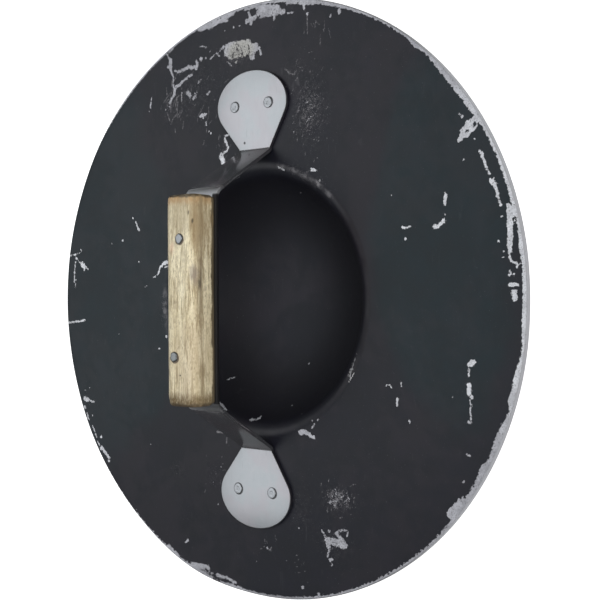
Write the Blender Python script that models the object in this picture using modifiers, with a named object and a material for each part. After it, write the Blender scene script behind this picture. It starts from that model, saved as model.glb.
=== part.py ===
"""Round steel buckler, lying on its boss with the wearer's side up.

A flat round plate has a boss pressed out of its middle. Across the hollow of the boss stands a handle:
a flat steel bar, bent four times, whose two wide ends (the paddles) are riveted to the plate. One piece
of wood, riveted to the level middle of the bar, makes the grip.

Lengths are in metres. +Z points to the wearer and the handle runs along Y. The origin is the middle of
the small flat spot, on the crown of the boss, that the buckler rests on.
"""
import math

import bmesh
import bpy

# Fit of pieces that touch, and of rivets in their holes
GAP = 0.0003

# Steel sheet with the pressed boss
PLATE_RADIUS = 0.150
SHEET_THICKNESS = 0.003
RIM_ROUNDING = 0.0014
BOWL_DEPTH = 0.030
BOWL_HALF_WIDTH = 0.0716
BOWL_HALF_HEIGHT = 0.052
BOWL_MOUTH_FILLET = 0.010
FLAT_SPOT_RADIUS = 0.008

# Bent steel strap of the handle
STRAP_WIDTH = 0.0206
STRAP_THICKNESS = 0.0020
STRAP_HEIGHT = 0.0415
GRIP_BEND_RADIUS = 0.0040
FOOT_BEND_RADIUS = 0.0025
STRAP_EDGE_ROUNDING = 0.0004
FOOT_MARGIN = 0.0058

# Paddles at the ends of the strap, cut by hand: each stands a little to the left of the strap's middle
PADDLE_WIDTH = 0.0464
PADDLE_NECK_LENGTH = 0.0226
PADDLE_END_LENGTH = 0.0171
TOP_PADDLE_SHIFT = -0.0021
BOTTOM_PADDLE_SHIFT = -0.0010

# Wooden grip
GRIP_LENGTH = 0.0985
GRIP_HEIGHT = 0.0136
GRIP_INSET = 0.0005
GRIP_SIDE_ROUNDING = 0.0050
GRIP_END_ROUNDING = 0.0021
GRIP_TO_BEND = 0.0023

# Rivets through the paddles and the plate, set back from the paddle's widest place towards the grip
PADDLE_RIVET_SPACING = 0.0225
TOP_RIVET_SETBACK = 0.0004
BOTTOM_RIVET_SETBACK = 0.0018
PADDLE_SHANK_RADIUS = 0.0020
PADDLE_TAIL_RADIUS = 0.0030
PADDLE_TAIL_HEIGHT = 0.0007
PADDLE_HEAD_RADIUS = 0.0045
PADDLE_HEAD_HEIGHT = 0.0020

# Rivets through the wood and the strap: place across and along the grip, from its middle
GRIP_RIVET_TOP_PLACE = (-0.0003, 0.0284)
GRIP_RIVET_BOTTOM_PLACE = (-0.0040, -0.0269)
GRIP_SHANK_RADIUS = 0.0017
GRIP_HEAD_RADIUS = 0.0026
GRIP_HEAD_HEIGHT = 0.0006
GRIP_TAIL_RADIUS = 0.0026
GRIP_TAIL_HEIGHT = 0.0008

# Facets of curved surfaces
TURN_STEPS = 84
BOWL_STEPS = 9
FILLET_STEPS = 5
RIM_STEPS = 3
BEND_STEPS = 4
PADDLE_STEPS = 22
GRIP_STEPS = 5
RIVET_STEPS = 16
DOME_STEPS = 3
GRIP_END_STEPS = 3
SHARP_EDGE = math.radians(60)
MERGE_DISTANCE = 0.00001
SMALLEST_TILT_STEP = 1e-9

# Heights that follow from the sizes above
BACK_FACE_Z = SHEET_THICKNESS + BOWL_DEPTH
FRONT_FACE_Z = BACK_FACE_Z - SHEET_THICKNESS
PADDLE_UNDERSIDE_Z = BACK_FACE_Z + GAP
PADDLE_TOP_Z = PADDLE_UNDERSIDE_Z + STRAP_THICKNESS
STRAP_TOP_Z = BACK_FACE_Z + STRAP_HEIGHT
STRAP_UNDERSIDE_Z = STRAP_TOP_Z - STRAP_THICKNESS
GRIP_SEAT_Z = STRAP_TOP_Z + GAP
GRIP_CROWN_Z = GRIP_SEAT_Z + GRIP_HEIGHT


def clear_scene():
    """Removes what the file starts with."""
    for thing in list(bpy.data.objects):
        bpy.data.objects.remove(thing, do_unlink=True)


def new_collection(name):
    collection = bpy.data.collections.new(name)
    bpy.context.scene.collection.children.link(collection)
    return collection


def new_material(name, colour, roughness, metallic):
    material = bpy.data.materials.new(name)
    material.use_nodes = True
    shader = material.node_tree.nodes["Principled BSDF"]
    shader.inputs["Base Color"].default_value = (*colour, 1.0)
    shader.inputs["Roughness"].default_value = roughness
    shader.inputs["Metallic"].default_value = metallic
    material.diffuse_color = (*colour, 1.0)
    return material


def new_object(name, mesh, collection, material=None):
    thing = bpy.data.objects.new(name, mesh)
    collection.objects.link(thing)
    if material:
        mesh.materials.append(material)
    return thing


def turned_object(name, profile, steps, collection, material=None):
    """Turns a profile of (radius, height) points round Z. It runs from the axis over the top and down."""
    mesh = bpy.data.meshes.new(name)
    edges = [(i, i + 1) for i in range(len(profile) - 1)]
    mesh.from_pydata([(radius, 0.0, height) for radius, height in profile], edges, [])
    thing = new_object(name, mesh, collection, material)
    turn = thing.modifiers.new("Turn", "SCREW")
    turn.axis = "Z"
    turn.steps = steps
    turn.render_steps = steps
    turn.use_merge_vertices = True
    turn.merge_threshold = MERGE_DISTANCE
    turn.use_smooth_shade = True
    return thing


def cut_holes(thing, cutters):
    """Cuts each cutter out of a piece."""
    for cutter in cutters:
        cut = thing.modifiers.new("Hole " + cutter.name, "BOOLEAN")
        cut.operation = "DIFFERENCE"
        cut.solver = "EXACT"
        cut.object = cutter


def hole_cutter(name, place, low, high, radius, collection):
    """An upright cylinder that cuts a rivet hole from height low to height high."""
    mesh = bpy.data.meshes.new(name)
    shape = bmesh.new()
    bmesh.ops.create_cone(
        shape, cap_ends=True, segments=RIVET_STEPS, radius1=radius, radius2=radius, depth=high - low
    )
    shape.to_mesh(mesh)
    shape.free()
    cutter = new_object(name, mesh, collection)
    cutter.location = (place[0], place[1], (low + high) / 2)
    cutter.hide_render = True
    cutter.display_type = "WIRE"
    return cutter


# Plate and boss

def bowl_point(tilt):
    """Point of the bowl's hollow side where its normal leans by tilt from +Z towards the axis.

    The hollow is half an ellipse turned round Z, cut off by the flat floor.
    """
    floor_share = FLAT_SPOT_RADIUS / BOWL_HALF_WIDTH
    middle_z = SHEET_THICKNESS + BOWL_HALF_HEIGHT * math.sqrt(1 - floor_share ** 2)
    turn = math.atan2(BOWL_HALF_WIDTH * math.sin(tilt), BOWL_HALF_HEIGHT * math.cos(tilt))
    return BOWL_HALF_WIDTH * math.sin(turn), middle_z - BOWL_HALF_HEIGHT * math.cos(turn)


def floor_edge_tilt():
    """Lean of the normal where the ellipse meets the flat floor."""
    share = FLAT_SPOT_RADIUS / BOWL_HALF_WIDTH
    return math.atan2(BOWL_HALF_HEIGHT * share, BOWL_HALF_WIDTH * math.sqrt(1 - share ** 2))


def wall_tilt():
    """Lean of the normal where the bowl's wall runs into the fillet of its mouth, found by halving."""
    low, high = 0.0, math.pi / 2
    while high - low > SMALLEST_TILT_STEP:
        middle = (low + high) / 2
        fillet_middle_z = bowl_point(middle)[1] - BOWL_MOUTH_FILLET * math.cos(middle)
        if fillet_middle_z < BACK_FACE_Z - BOWL_MOUTH_FILLET:
            low = middle
        else:
            high = middle
    return (low + high) / 2


WALL_TILT = wall_tilt()
MOUTH_RADIUS = bowl_point(WALL_TILT)[0] + BOWL_MOUTH_FILLET * math.sin(WALL_TILT)


def back_surface():
    """Hollow side of the sheet as (radius, height, tilt), from the axis out to the flat plate."""
    points = [(0.0, SHEET_THICKNESS, 0.0), (FLAT_SPOT_RADIUS, SHEET_THICKNESS, 0.0)]
    first = floor_edge_tilt()
    for step in range(1, BOWL_STEPS + 1):
        tilt = first + (WALL_TILT - first) * step / BOWL_STEPS
        points.append((*bowl_point(tilt), tilt))
    for step in range(1, FILLET_STEPS + 1):
        tilt = WALL_TILT * (1 - step / FILLET_STEPS)
        radius = MOUTH_RADIUS - BOWL_MOUTH_FILLET * math.sin(tilt)
        height = BACK_FACE_Z - BOWL_MOUTH_FILLET * (1 - math.cos(tilt))
        points.append((radius, height, tilt))
    return points


def rim_arc(middle_z, start):
    """Quarter round of the rim, from the angle start down to a quarter turn less."""
    points = []
    for step in range(RIM_STEPS + 1):
        angle = start - math.pi / 2 * step / RIM_STEPS
        radius = PLATE_RADIUS - RIM_ROUNDING * (1 - math.cos(angle))
        points.append((radius, middle_z + RIM_ROUNDING * math.sin(angle)))
    return points


def sheet_profile():
    """Section of the sheet: out along its back, round the rim, and in along its front."""
    back = back_surface()
    outward = [(radius, height) for radius, height, tilt in back]
    inward = [
        (radius + SHEET_THICKNESS * math.sin(tilt), height - SHEET_THICKNESS * math.cos(tilt))
        for radius, height, tilt in reversed(back)
    ]
    rim = rim_arc(BACK_FACE_Z - RIM_ROUNDING, math.pi / 2) + rim_arc(FRONT_FACE_Z + RIM_ROUNDING, 0.0)
    return outward + rim + inward


# Handle strap

FOOT_BEND_Y = MOUTH_RADIUS + FOOT_MARGIN
GRIP_BEND_Y = GRIP_LENGTH / 2 + GRIP_TO_BEND
PADDLE_MIDDLE_Y = FOOT_BEND_Y + PADDLE_NECK_LENGTH
LEG_RISE = STRAP_TOP_Z - PADDLE_TOP_Z
LEG_RUN = FOOT_BEND_Y - GRIP_BEND_Y
LEG_ANGLE = math.atan2(LEG_RISE, LEG_RUN)
GRIP_BEND_TANGENT = GRIP_BEND_RADIUS * math.tan(LEG_ANGLE / 2)
FOOT_BEND_TANGENT = FOOT_BEND_RADIUS * math.tan(LEG_ANGLE / 2)
LEG_STRAIGHT = math.hypot(LEG_RISE, LEG_RUN) - GRIP_BEND_TANGENT - FOOT_BEND_TANGENT

# Places along the flat blank, from its middle, where each bend starts and ends
GRIP_BEND_START = GRIP_BEND_Y - GRIP_BEND_TANGENT
GRIP_BEND_END = GRIP_BEND_START + GRIP_BEND_RADIUS * LEG_ANGLE
FOOT_BEND_START = GRIP_BEND_END + LEG_STRAIGHT
FOOT_BEND_END = FOOT_BEND_START + FOOT_BEND_RADIUS * LEG_ANGLE


def bent_place(along):
    """Place (y, z) in the bent strap's middle surface of a point of the flat blank."""
    side = math.copysign(1.0, along)
    reach = abs(along)
    top_z = STRAP_TOP_Z - STRAP_THICKNESS / 2
    foot_z = PADDLE_TOP_Z - STRAP_THICKNESS / 2
    if reach <= GRIP_BEND_START:
        y, z = reach, top_z
    elif reach <= GRIP_BEND_END:
        turn = (reach - GRIP_BEND_START) / GRIP_BEND_RADIUS
        y = GRIP_BEND_START + GRIP_BEND_RADIUS * math.sin(turn)
        z = top_z - GRIP_BEND_RADIUS * (1 - math.cos(turn))
    elif reach <= FOOT_BEND_START:
        down = GRIP_BEND_TANGENT + reach - GRIP_BEND_END
        y = GRIP_BEND_Y + down * math.cos(LEG_ANGLE)
        z = top_z - down * math.sin(LEG_ANGLE)
    elif reach <= FOOT_BEND_END:
        turn = (FOOT_BEND_END - reach) / FOOT_BEND_RADIUS
        y = FOOT_BEND_Y + FOOT_BEND_TANGENT - FOOT_BEND_RADIUS * math.sin(turn)
        z = foot_z + FOOT_BEND_RADIUS * (1 - math.cos(turn))
    else:
        y, z = FOOT_BEND_Y + FOOT_BEND_TANGENT + reach - FOOT_BEND_END, foot_z
    return side * y, z


def touch_angle(neck_x, neck_y):
    """Angle on a unit circle where a straight line from a point outside, on its lower right, touches it."""
    return math.atan2(neck_y, neck_x) + math.acos(1 / math.hypot(neck_x, neck_y))


def paddle_outline(shift):
    """Half blank beyond the foot bend: a straight taper on each side that runs into an elliptical end."""
    half_width = PADDLE_WIDTH / 2
    middle = FOOT_BEND_END + PADDLE_NECK_LENGTH - FOOT_BEND_TANGENT
    neck_y = (FOOT_BEND_END - middle) / PADDLE_END_LENGTH
    start = touch_angle((STRAP_WIDTH / 2 - shift) / half_width, neck_y)
    end = math.pi - touch_angle((STRAP_WIDTH / 2 + shift) / half_width, neck_y)
    points = [(STRAP_WIDTH / 2, FOOT_BEND_END)]
    for step in range(PADDLE_STEPS + 1):
        angle = start + (end - start) * step / PADDLE_STEPS
        points.append((shift + half_width * math.cos(angle), middle + PADDLE_END_LENGTH * math.sin(angle)))
    points.append((-STRAP_WIDTH / 2, FOOT_BEND_END))
    return points


def bend_lines():
    """Places along the blank where it is divided, so that each bend is round."""
    bends = [(GRIP_BEND_START, GRIP_BEND_END), (FOOT_BEND_START, FOOT_BEND_END)]
    lines = []
    for start, end in bends:
        lines += [start + (end - start) * step / BEND_STEPS for step in range(BEND_STEPS + 1)]
    return lines + [-line for line in lines]


def strap_mesh():
    """Flat blank, divided at the bends and then bent."""
    top = paddle_outline(TOP_PADDLE_SHIFT)
    bottom = [(-x, -y) for x, y in paddle_outline(-BOTTOM_PADDLE_SHIFT)]
    shape = bmesh.new()
    shape.faces.new([shape.verts.new((x, y, 0.0)) for x, y in top + bottom])
    for line in bend_lines():
        everything = shape.verts[:] + shape.edges[:] + shape.faces[:]
        bmesh.ops.bisect_plane(
            shape, geom=everything, dist=MERGE_DISTANCE, plane_co=(0, line, 0), plane_no=(0, 1, 0)
        )
    for corner in shape.verts:
        corner.co.y, corner.co.z = bent_place(corner.co.y)
    mesh = bpy.data.meshes.new("handle_strap")
    shape.to_mesh(mesh)
    shape.free()
    return mesh


def make_strap(collection, material, cutters):
    strap = new_object("handle_strap", strap_mesh(), collection, material)
    wall = strap.modifiers.new("Bar thickness", "SOLIDIFY")
    wall.thickness = STRAP_THICKNESS
    wall.offset = 0.0
    wall.use_even_offset = True
    soften = strap.modifiers.new("Rounded edges", "BEVEL")
    soften.width = STRAP_EDGE_ROUNDING
    soften.segments = 1
    soften.limit_method = "ANGLE"
    soften.angle_limit = SHARP_EDGE
    cut_holes(strap, cutters)
    return strap


# Wooden grip

def grip_section():
    """Section of the grip as (across, height): flat on the strap, with rounded upper sides."""
    half_width = STRAP_WIDTH / 2 - GRIP_INSET
    points = [(-half_width, GRIP_SEAT_Z), (half_width, GRIP_SEAT_Z)]
    for side in (1, -1):
        for step in range(GRIP_STEPS + 1):
            angle = math.pi / 2 * (step / GRIP_STEPS if side > 0 else 1 - step / GRIP_STEPS)
            across = half_width - GRIP_SIDE_ROUNDING * (1 - math.cos(angle))
            height = GRIP_CROWN_Z - GRIP_SIDE_ROUNDING * (1 - math.sin(angle))
            points.append((side * across, height))
    return points


def make_grip(collection, material, cutters):
    shape = bmesh.new()
    corners = [shape.verts.new((x, -GRIP_LENGTH / 2, z)) for x, z in grip_section()]
    section = shape.faces.new(corners)
    moved = bmesh.ops.extrude_face_region(shape, geom=[section])["geom"]
    bmesh.ops.translate(
        shape, vec=(0, GRIP_LENGTH, 0), verts=[part for part in moved if isinstance(part, bmesh.types.BMVert)]
    )
    bmesh.ops.recalc_face_normals(shape, faces=shape.faces[:])
    mesh = bpy.data.meshes.new("wooden_grip")
    shape.to_mesh(mesh)
    shape.free()
    grip = new_object("wooden_grip", mesh, collection, material)
    soften = grip.modifiers.new("Rounded ends", "BEVEL")
    soften.width = GRIP_END_ROUNDING
    soften.segments = GRIP_END_STEPS
    soften.limit_method = "ANGLE"
    soften.angle_limit = SHARP_EDGE
    cut_holes(grip, cutters)
    return grip


# Rivets

def dome(radius, height, seat, direction):
    """Quarter section of a low round head on its seat, from the crown (direction 1) or the seat (-1)."""
    points = []
    for step in range(DOME_STEPS + 1):
        angle = math.pi / 2 * (step / DOME_STEPS if direction > 0 else 1 - step / DOME_STEPS)
        points.append((radius * math.sin(angle), seat + direction * height * math.cos(angle)))
    return points


def rivet_profile(shank_radius, upper, lower):
    """Upper and lower are the (radius, height, seat) of the two heads."""
    upper_radius, upper_height, upper_seat = upper
    lower_radius, lower_height, lower_seat = lower
    crown = dome(upper_radius, upper_height, upper_seat, 1)
    crown[0] = (0.0, crown[0][1])
    foot = dome(lower_radius, lower_height, lower_seat, -1)
    foot[-1] = (0.0, foot[-1][1])
    return crown + [(shank_radius, upper_seat), (shank_radius, lower_seat)] + foot


def make_rivet(name, place, profile, collection, material):
    rivet = turned_object(name, profile, RIVET_STEPS, collection, material)
    rivet.location = (place[0], place[1], 0.0)
    return rivet


def paddle_rivet_places():
    """Name and place of each rivet that holds the handle."""
    across = PADDLE_RIVET_SPACING / 2
    top_y = PADDLE_MIDDLE_Y - TOP_RIVET_SETBACK
    bottom_y = BOTTOM_RIVET_SETBACK - PADDLE_MIDDLE_Y
    return {
        "top_left": (TOP_PADDLE_SHIFT - across, top_y),
        "top_right": (TOP_PADDLE_SHIFT + across, top_y),
        "bottom_left": (BOTTOM_PADDLE_SHIFT - across, bottom_y),
        "bottom_right": (BOTTOM_PADDLE_SHIFT + across, bottom_y),
    }


def main():
    clear_scene()
    parts = new_collection("Buckler")
    cutters = new_collection("Cutters")

    painted = new_material("Black paint", (0.030, 0.031, 0.034), 0.45, 0.0)
    steel = new_material("Bare steel", (0.50, 0.52, 0.54), 0.32, 1.0)
    wood = new_material("Light wood", (0.52, 0.42, 0.27), 0.60, 0.0)
    rivet_steel = new_material("Rivet steel", (0.56, 0.57, 0.60), 0.35, 1.0)

    paddle_places = paddle_rivet_places()
    grip_places = {"top": GRIP_RIVET_TOP_PLACE, "bottom": GRIP_RIVET_BOTTOM_PLACE}
    paddle_hole = PADDLE_SHANK_RADIUS + GAP
    grip_hole = GRIP_SHANK_RADIUS + GAP
    spare = STRAP_THICKNESS

    paddle_cutters = [
        hole_cutter("paddle hole " + name, place, FRONT_FACE_Z - spare, PADDLE_TOP_Z + spare,
                    paddle_hole, cutters)
        for name, place in paddle_places.items()
    ]
    grip_cutters = [
        hole_cutter("grip hole " + name, place, STRAP_UNDERSIDE_Z - spare, GRIP_CROWN_Z + spare,
                    grip_hole, cutters)
        for name, place in grip_places.items()
    ]

    plate = turned_object("plate_with_boss", sheet_profile(), TURN_STEPS, parts, painted)
    cut_holes(plate, paddle_cutters)
    make_strap(parts, steel, paddle_cutters + grip_cutters)
    make_grip(parts, wood, grip_cutters)

    paddle_profile = rivet_profile(
        PADDLE_SHANK_RADIUS,
        (PADDLE_TAIL_RADIUS, PADDLE_TAIL_HEIGHT, PADDLE_TOP_Z + GAP),
        (PADDLE_HEAD_RADIUS, PADDLE_HEAD_HEIGHT, FRONT_FACE_Z - GAP),
    )
    for name, place in paddle_places.items():
        make_rivet("paddle_rivet_" + name, place, paddle_profile, parts, rivet_steel)

    grip_profile = rivet_profile(
        GRIP_SHANK_RADIUS,
        (GRIP_HEAD_RADIUS, GRIP_HEAD_HEIGHT, GRIP_CROWN_Z + GAP),
        (GRIP_TAIL_RADIUS, GRIP_TAIL_HEIGHT, STRAP_UNDERSIDE_Z - GAP),
    )
    for name, place in grip_places.items():
        make_rivet("grip_rivet_" + name, place, grip_profile, parts, rivet_steel)


main()
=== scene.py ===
# %% [markdown]
# # A small steel hand shield, lying on its boss
#
# The photo shows the wearer's side of a round steel shield, about 300 mm across. It is one sheet with a
# boss pressed out of its middle, painted black and chipped. Across the hollow stands a bent steel strap
# with a wooden grip on it, and six rivets hold everything together.
#
# Each piece below is first explained, then modelled from a simple start with Blender's own tools, and
# then given its finish. All lengths are in metres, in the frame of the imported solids.

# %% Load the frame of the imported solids
import math

import bpy
import numpy as np
from mathutils import Matrix, Vector, noise


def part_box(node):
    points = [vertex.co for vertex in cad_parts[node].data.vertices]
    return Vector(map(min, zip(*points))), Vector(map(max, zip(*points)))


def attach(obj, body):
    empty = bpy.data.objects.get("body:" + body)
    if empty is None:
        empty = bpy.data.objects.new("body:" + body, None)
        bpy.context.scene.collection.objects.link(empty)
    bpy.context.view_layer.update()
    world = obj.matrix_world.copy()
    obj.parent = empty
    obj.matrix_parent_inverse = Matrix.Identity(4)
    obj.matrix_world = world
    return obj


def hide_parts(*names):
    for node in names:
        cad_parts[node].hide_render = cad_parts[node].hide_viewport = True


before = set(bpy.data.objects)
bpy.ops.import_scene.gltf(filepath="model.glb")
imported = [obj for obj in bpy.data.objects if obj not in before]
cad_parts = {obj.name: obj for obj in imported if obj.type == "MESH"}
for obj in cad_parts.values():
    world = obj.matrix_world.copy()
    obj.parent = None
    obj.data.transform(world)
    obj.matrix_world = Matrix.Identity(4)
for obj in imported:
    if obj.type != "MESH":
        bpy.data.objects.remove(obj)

bpy.context.view_layer.update()

# %% [markdown]
# ## Sizes that drive the model
#
# The solids already hold the real sizes, so most values are read from their boxes. The few that a box
# can't show, such as the sheet's thickness and the bends' radii, are named here once.

# %% Read sizes from the solids
plate_low, plate_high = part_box("plate_with_boss")
strap_low, strap_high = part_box("handle_strap")
grip_low, grip_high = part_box("wooden_grip")

MM = 0.001
PLATE_RADIUS = (plate_high.x - plate_low.x) / 2
SHEET = 3.0 * MM
BACK_FACE = plate_high.z
FRONT_FACE = BACK_FACE - SHEET
STRAP_TOP = strap_high.z
GRIP_LENGTH = grip_high.y - grip_low.y
GRIP_CROWN = grip_high.z
print("plate radius", round(PLATE_RADIUS, 4), "back face at", round(BACK_FACE, 4))
print("strap top at", round(STRAP_TOP, 4), "grip length", round(GRIP_LENGTH, 4))

# %% [markdown]
# ## A few modelling helpers
#
# An operator acts on everything that is selected. So each piece starts with nothing selected, and is
# then the only thing in hand. A shape that is drawn point by point, such as the section of a turned
# part, starts as a tiny plane that is merged to a single vertex. That vertex is then extruded along.

# %% Helpers: take a piece in hand and start a new one
TINY = 0.01 * MM


def put_down_everything():
    """Leaves edit mode and deselects all objects."""
    if bpy.context.object and bpy.context.object.mode != "OBJECT":
        bpy.ops.object.mode_set(mode="OBJECT")
    bpy.ops.object.select_all(action="DESELECT")


def take_in_hand(piece):
    """Makes a piece the only selected and active one."""
    put_down_everything()
    piece.select_set(True)
    bpy.context.view_layer.objects.active = piece


def start_piece(name, add, **settings):
    """Adds a primitive with nothing else selected, and names it."""
    put_down_everything()
    add(**settings)
    piece = bpy.context.object
    piece.name = name
    piece.data.name = name
    return piece


def start_line(name, places):
    """Starts a piece as one vertex, extrudes it from place to place, and stays in edit mode."""
    piece = start_piece(name, bpy.ops.mesh.primitive_plane_add, size=MM)
    bpy.ops.object.mode_set(mode="EDIT")
    bpy.ops.mesh.select_mode(type="VERT")
    bpy.ops.mesh.select_all(action="SELECT")
    bpy.ops.mesh.merge(type="CENTER")
    bpy.ops.transform.translate(value=places[0])
    for here, there in zip(places[:-1], places[1:]):
        step = Vector(there) - Vector(here)
        bpy.ops.mesh.extrude_vertices_move(TRANSFORM_OT_translate={"value": step})
    bpy.ops.mesh.select_all(action="SELECT")
    return piece


def close_up():
    """Merges doubles of the piece in edit mode, turns its faces outwards and leaves edit mode."""
    bpy.ops.mesh.select_all(action="SELECT")
    bpy.ops.mesh.remove_doubles(threshold=TINY)
    bpy.ops.mesh.normals_make_consistent(inside=False)
    bpy.ops.object.mode_set(mode="OBJECT")


def turn_piece(name, line, steps):
    """Draws a half section of (radius, height) from the axis on, and spins it round Z as on a lathe."""
    piece = start_line(name, [(radius, 0.0, height) for radius, height in line])
    bpy.ops.mesh.spin(steps=steps, angle=math.tau, center=(0, 0, 0), axis=(0, 0, 1))
    close_up()
    return piece


# %% Helpers: read, select, change and finish a piece
def rows_of(items, what):
    """One row of three numbers for each vertex or face of a mesh."""
    rows = np.zeros(len(items) * 3)
    items.foreach_get(what, rows)
    return rows.reshape(-1, 3)


def write_places(piece, places):
    piece.data.vertices.foreach_set("co", places.ravel())
    piece.data.update()


def store_values(piece, name, values):
    """Keeps one number for each vertex on the mesh, where a material can read it by name."""
    layer = piece.data.attributes.new(name, "FLOAT", "POINT")
    layer.data.foreach_set("value", np.asarray(values, np.float32))


def select_parts(piece, kind, chosen):
    """Goes into edit mode with just the chosen faces or edges selected: a yes or no for each."""
    take_in_hand(piece)
    mesh = piece.data
    for parts in (mesh.vertices, mesh.edges, mesh.polygons):
        parts.foreach_set("select", np.zeros(len(parts), bool))
    parts = mesh.polygons if kind == "FACE" else mesh.edges
    parts.foreach_set("select", np.asarray(chosen, bool))
    # Edges have to be the mode before, faces after: entering by corners takes in enclosed faces too
    if kind == "EDGE":
        bpy.context.tool_settings.mesh_select_mode = (False, True, False)
    bpy.ops.object.mode_set(mode="EDIT")
    bpy.ops.mesh.select_mode(type=kind)


def add_modifier(piece, kind, **settings):
    """Adds a modifier with its settings and applies it."""
    take_in_hand(piece)
    modifier = piece.modifiers.new(kind.title(), kind)
    for setting, value in settings.items():
        setattr(modifier, setting, value)
    bpy.ops.object.modifier_apply(modifier=modifier.name)


def smooth(piece, sharp_degrees=None):
    """Shades a piece smooth, or smooth with sharp edges above an angle."""
    take_in_hand(piece)
    if sharp_degrees is None:
        bpy.ops.object.shade_smooth()
    else:
        bpy.ops.object.shade_smooth_by_angle(angle=math.radians(sharp_degrees))


def hand_over(piece, slot, *nodes):
    """Puts a finished piece in the place of its solids."""
    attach(piece, "root")
    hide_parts(*nodes)
    piece.data.calc_loop_triangles()
    print(piece.name, "has", len(piece.data.loop_triangles), "triangles")


# %% [markdown]
# ## The steel sheet and its boss
#
# On the real shield this is one round blank, cut from sheet, whose middle is pressed or hammered into a
# boss. The rim is only broken with a file. A blank with rings could be pushed into shape, but the section
# is the same all round. So it is drawn once as half a section and spun, and that gives clean rings for
# the long soft reflections in the hollow.
#
# The hollow is half an ellipse, cut off by a small flat floor, and a round mouth leads into the plate.

# %% Sizes of the section
RIM_ROUNDING = 0.6 * MM
BOWL_HALF_WIDTH = 71.6 * MM
BOWL_HALF_HEIGHT = 52.0 * MM
MOUTH_ROUNDING = 10.0 * MM
FLAT_SPOT = 8.0 * MM
TURN_STEPS = 192
BOWL_RINGS = 22
MOUTH_RINGS = 10
FLAT_RINGS = 20
RIM_RINGS = 5
FLAT_EDGE = PLATE_RADIUS - RIM_ROUNDING


def hollow_point(tilt):
    """Radius and height of the hollow where its surface leans by tilt."""
    floor_share = FLAT_SPOT / BOWL_HALF_WIDTH
    middle = SHEET + BOWL_HALF_HEIGHT * math.sqrt(1 - floor_share ** 2)
    turn = math.atan2(BOWL_HALF_WIDTH * math.sin(tilt), BOWL_HALF_HEIGHT * math.cos(tilt))
    return BOWL_HALF_WIDTH * math.sin(turn), middle - BOWL_HALF_HEIGHT * math.cos(turn)


def steepest_tilt():
    """Lean where the hollow runs into its round mouth, found by halving."""
    low, high = 0.0, math.pi / 2
    for _ in range(50):
        tilt = (low + high) / 2
        if hollow_point(tilt)[1] + MOUTH_ROUNDING * (1 - math.cos(tilt)) < BACK_FACE:
            low = tilt
        else:
            high = tilt
    return tilt


WALL_TILT = steepest_tilt()
MOUTH_RADIUS = hollow_point(WALL_TILT)[0] + MOUTH_ROUNDING * math.sin(WALL_TILT)
FLOOR_TILT = math.atan2(
    BOWL_HALF_HEIGHT * FLAT_SPOT, BOWL_HALF_WIDTH * math.sqrt(BOWL_HALF_WIDTH ** 2 - FLAT_SPOT ** 2)
)
print("steepest wall", round(math.degrees(WALL_TILT), 1), "mouth radius", round(MOUTH_RADIUS, 4))

# %% Draw the section: out along the back, round the rim, in along the front
def hollow_line(bowl_rings, mouth_rings):
    """The hollow side as (radius, height, tilt), from the edge of its floor to the flat plate."""
    line = [(FLAT_SPOT, SHEET, 0.0)]
    for step in range(1, bowl_rings + 1):
        tilt = FLOOR_TILT + (WALL_TILT - FLOOR_TILT) * step / bowl_rings
        line.append((*hollow_point(tilt), tilt))
    for step in range(1, mouth_rings + 1):
        tilt = WALL_TILT * (1 - step / mouth_rings)
        height = BACK_FACE - MOUTH_ROUNDING * (1 - math.cos(tilt))
        line.append((MOUTH_RADIUS - MOUTH_ROUNDING * math.sin(tilt), height, tilt))
    return line


def rim_line(middle, start):
    """A quarter round of the rim, from an angle down by a right angle."""
    angles = [start - math.pi / 2 * step / RIM_RINGS for step in range(RIM_RINGS + 1)]
    return [
        (FLAT_EDGE + RIM_ROUNDING * math.cos(angle), middle + RIM_ROUNDING * math.sin(angle))
        for angle in angles
    ]


back_line = hollow_line(BOWL_RINGS, MOUTH_RINGS)
section = [(0.0, SHEET), (FLAT_SPOT / 2, SHEET)] + [(radius, height) for radius, height, tilt in back_line]
for step in range(1, FLAT_RINGS):
    section.append((MOUTH_RADIUS + (FLAT_EDGE - MOUTH_RADIUS) * step / FLAT_RINGS, BACK_FACE))
section += rim_line(BACK_FACE - RIM_ROUNDING, math.pi / 2)
section += rim_line(FRONT_FACE + RIM_ROUNDING, 0.0)
for step in range(1, FLAT_RINGS):
    section.append((FLAT_EDGE + (MOUTH_RADIUS - FLAT_EDGE) * step / FLAT_RINGS, FRONT_FACE))
for radius, height, tilt in reversed(back_line):
    section.append((radius + SHEET * math.sin(tilt), height - SHEET * math.cos(tilt)))
section.append((0.0, 0.0))
print("the section has", len(section), "points")

# %% Spin the section into the sheet
plate = turn_piece("plate_with_boss_visual", section, TURN_STEPS)
print("spun sheet:", len(plate.data.vertices), "vertices,", len(plate.data.polygons), "faces")

# %% [markdown]
# ## Where the paint is worn off
#
# The black paint has come off in chips, cracks and scuffs, and along the rim. Each mark has its own place
# on the real shield, so a random pattern alone would not look like it. The marks are drawn here one by one,
# as a painter would, with a brush of a given half width that runs through a few places. All numbers are
# millimetres on the plate, x to the right and y up as the wearer looks at it.
#
# From these strokes each point of the sheet gets one number: how far it lies from bare steel, with a minus
# inside. The paint reads that number later and breaks up the even brush edge with noise.

# %% Brush strokes: half width at the start, half width at the end, places
def stroke(width, *places, end=None):
    """One worn line. A single place makes a dot."""
    places = places if len(places) > 1 else places * 2
    return np.array(places, float), np.linspace(width, width if end is None else end, len(places))


def dots(width, *places):
    return [stroke(width, place) for place in places]


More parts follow.
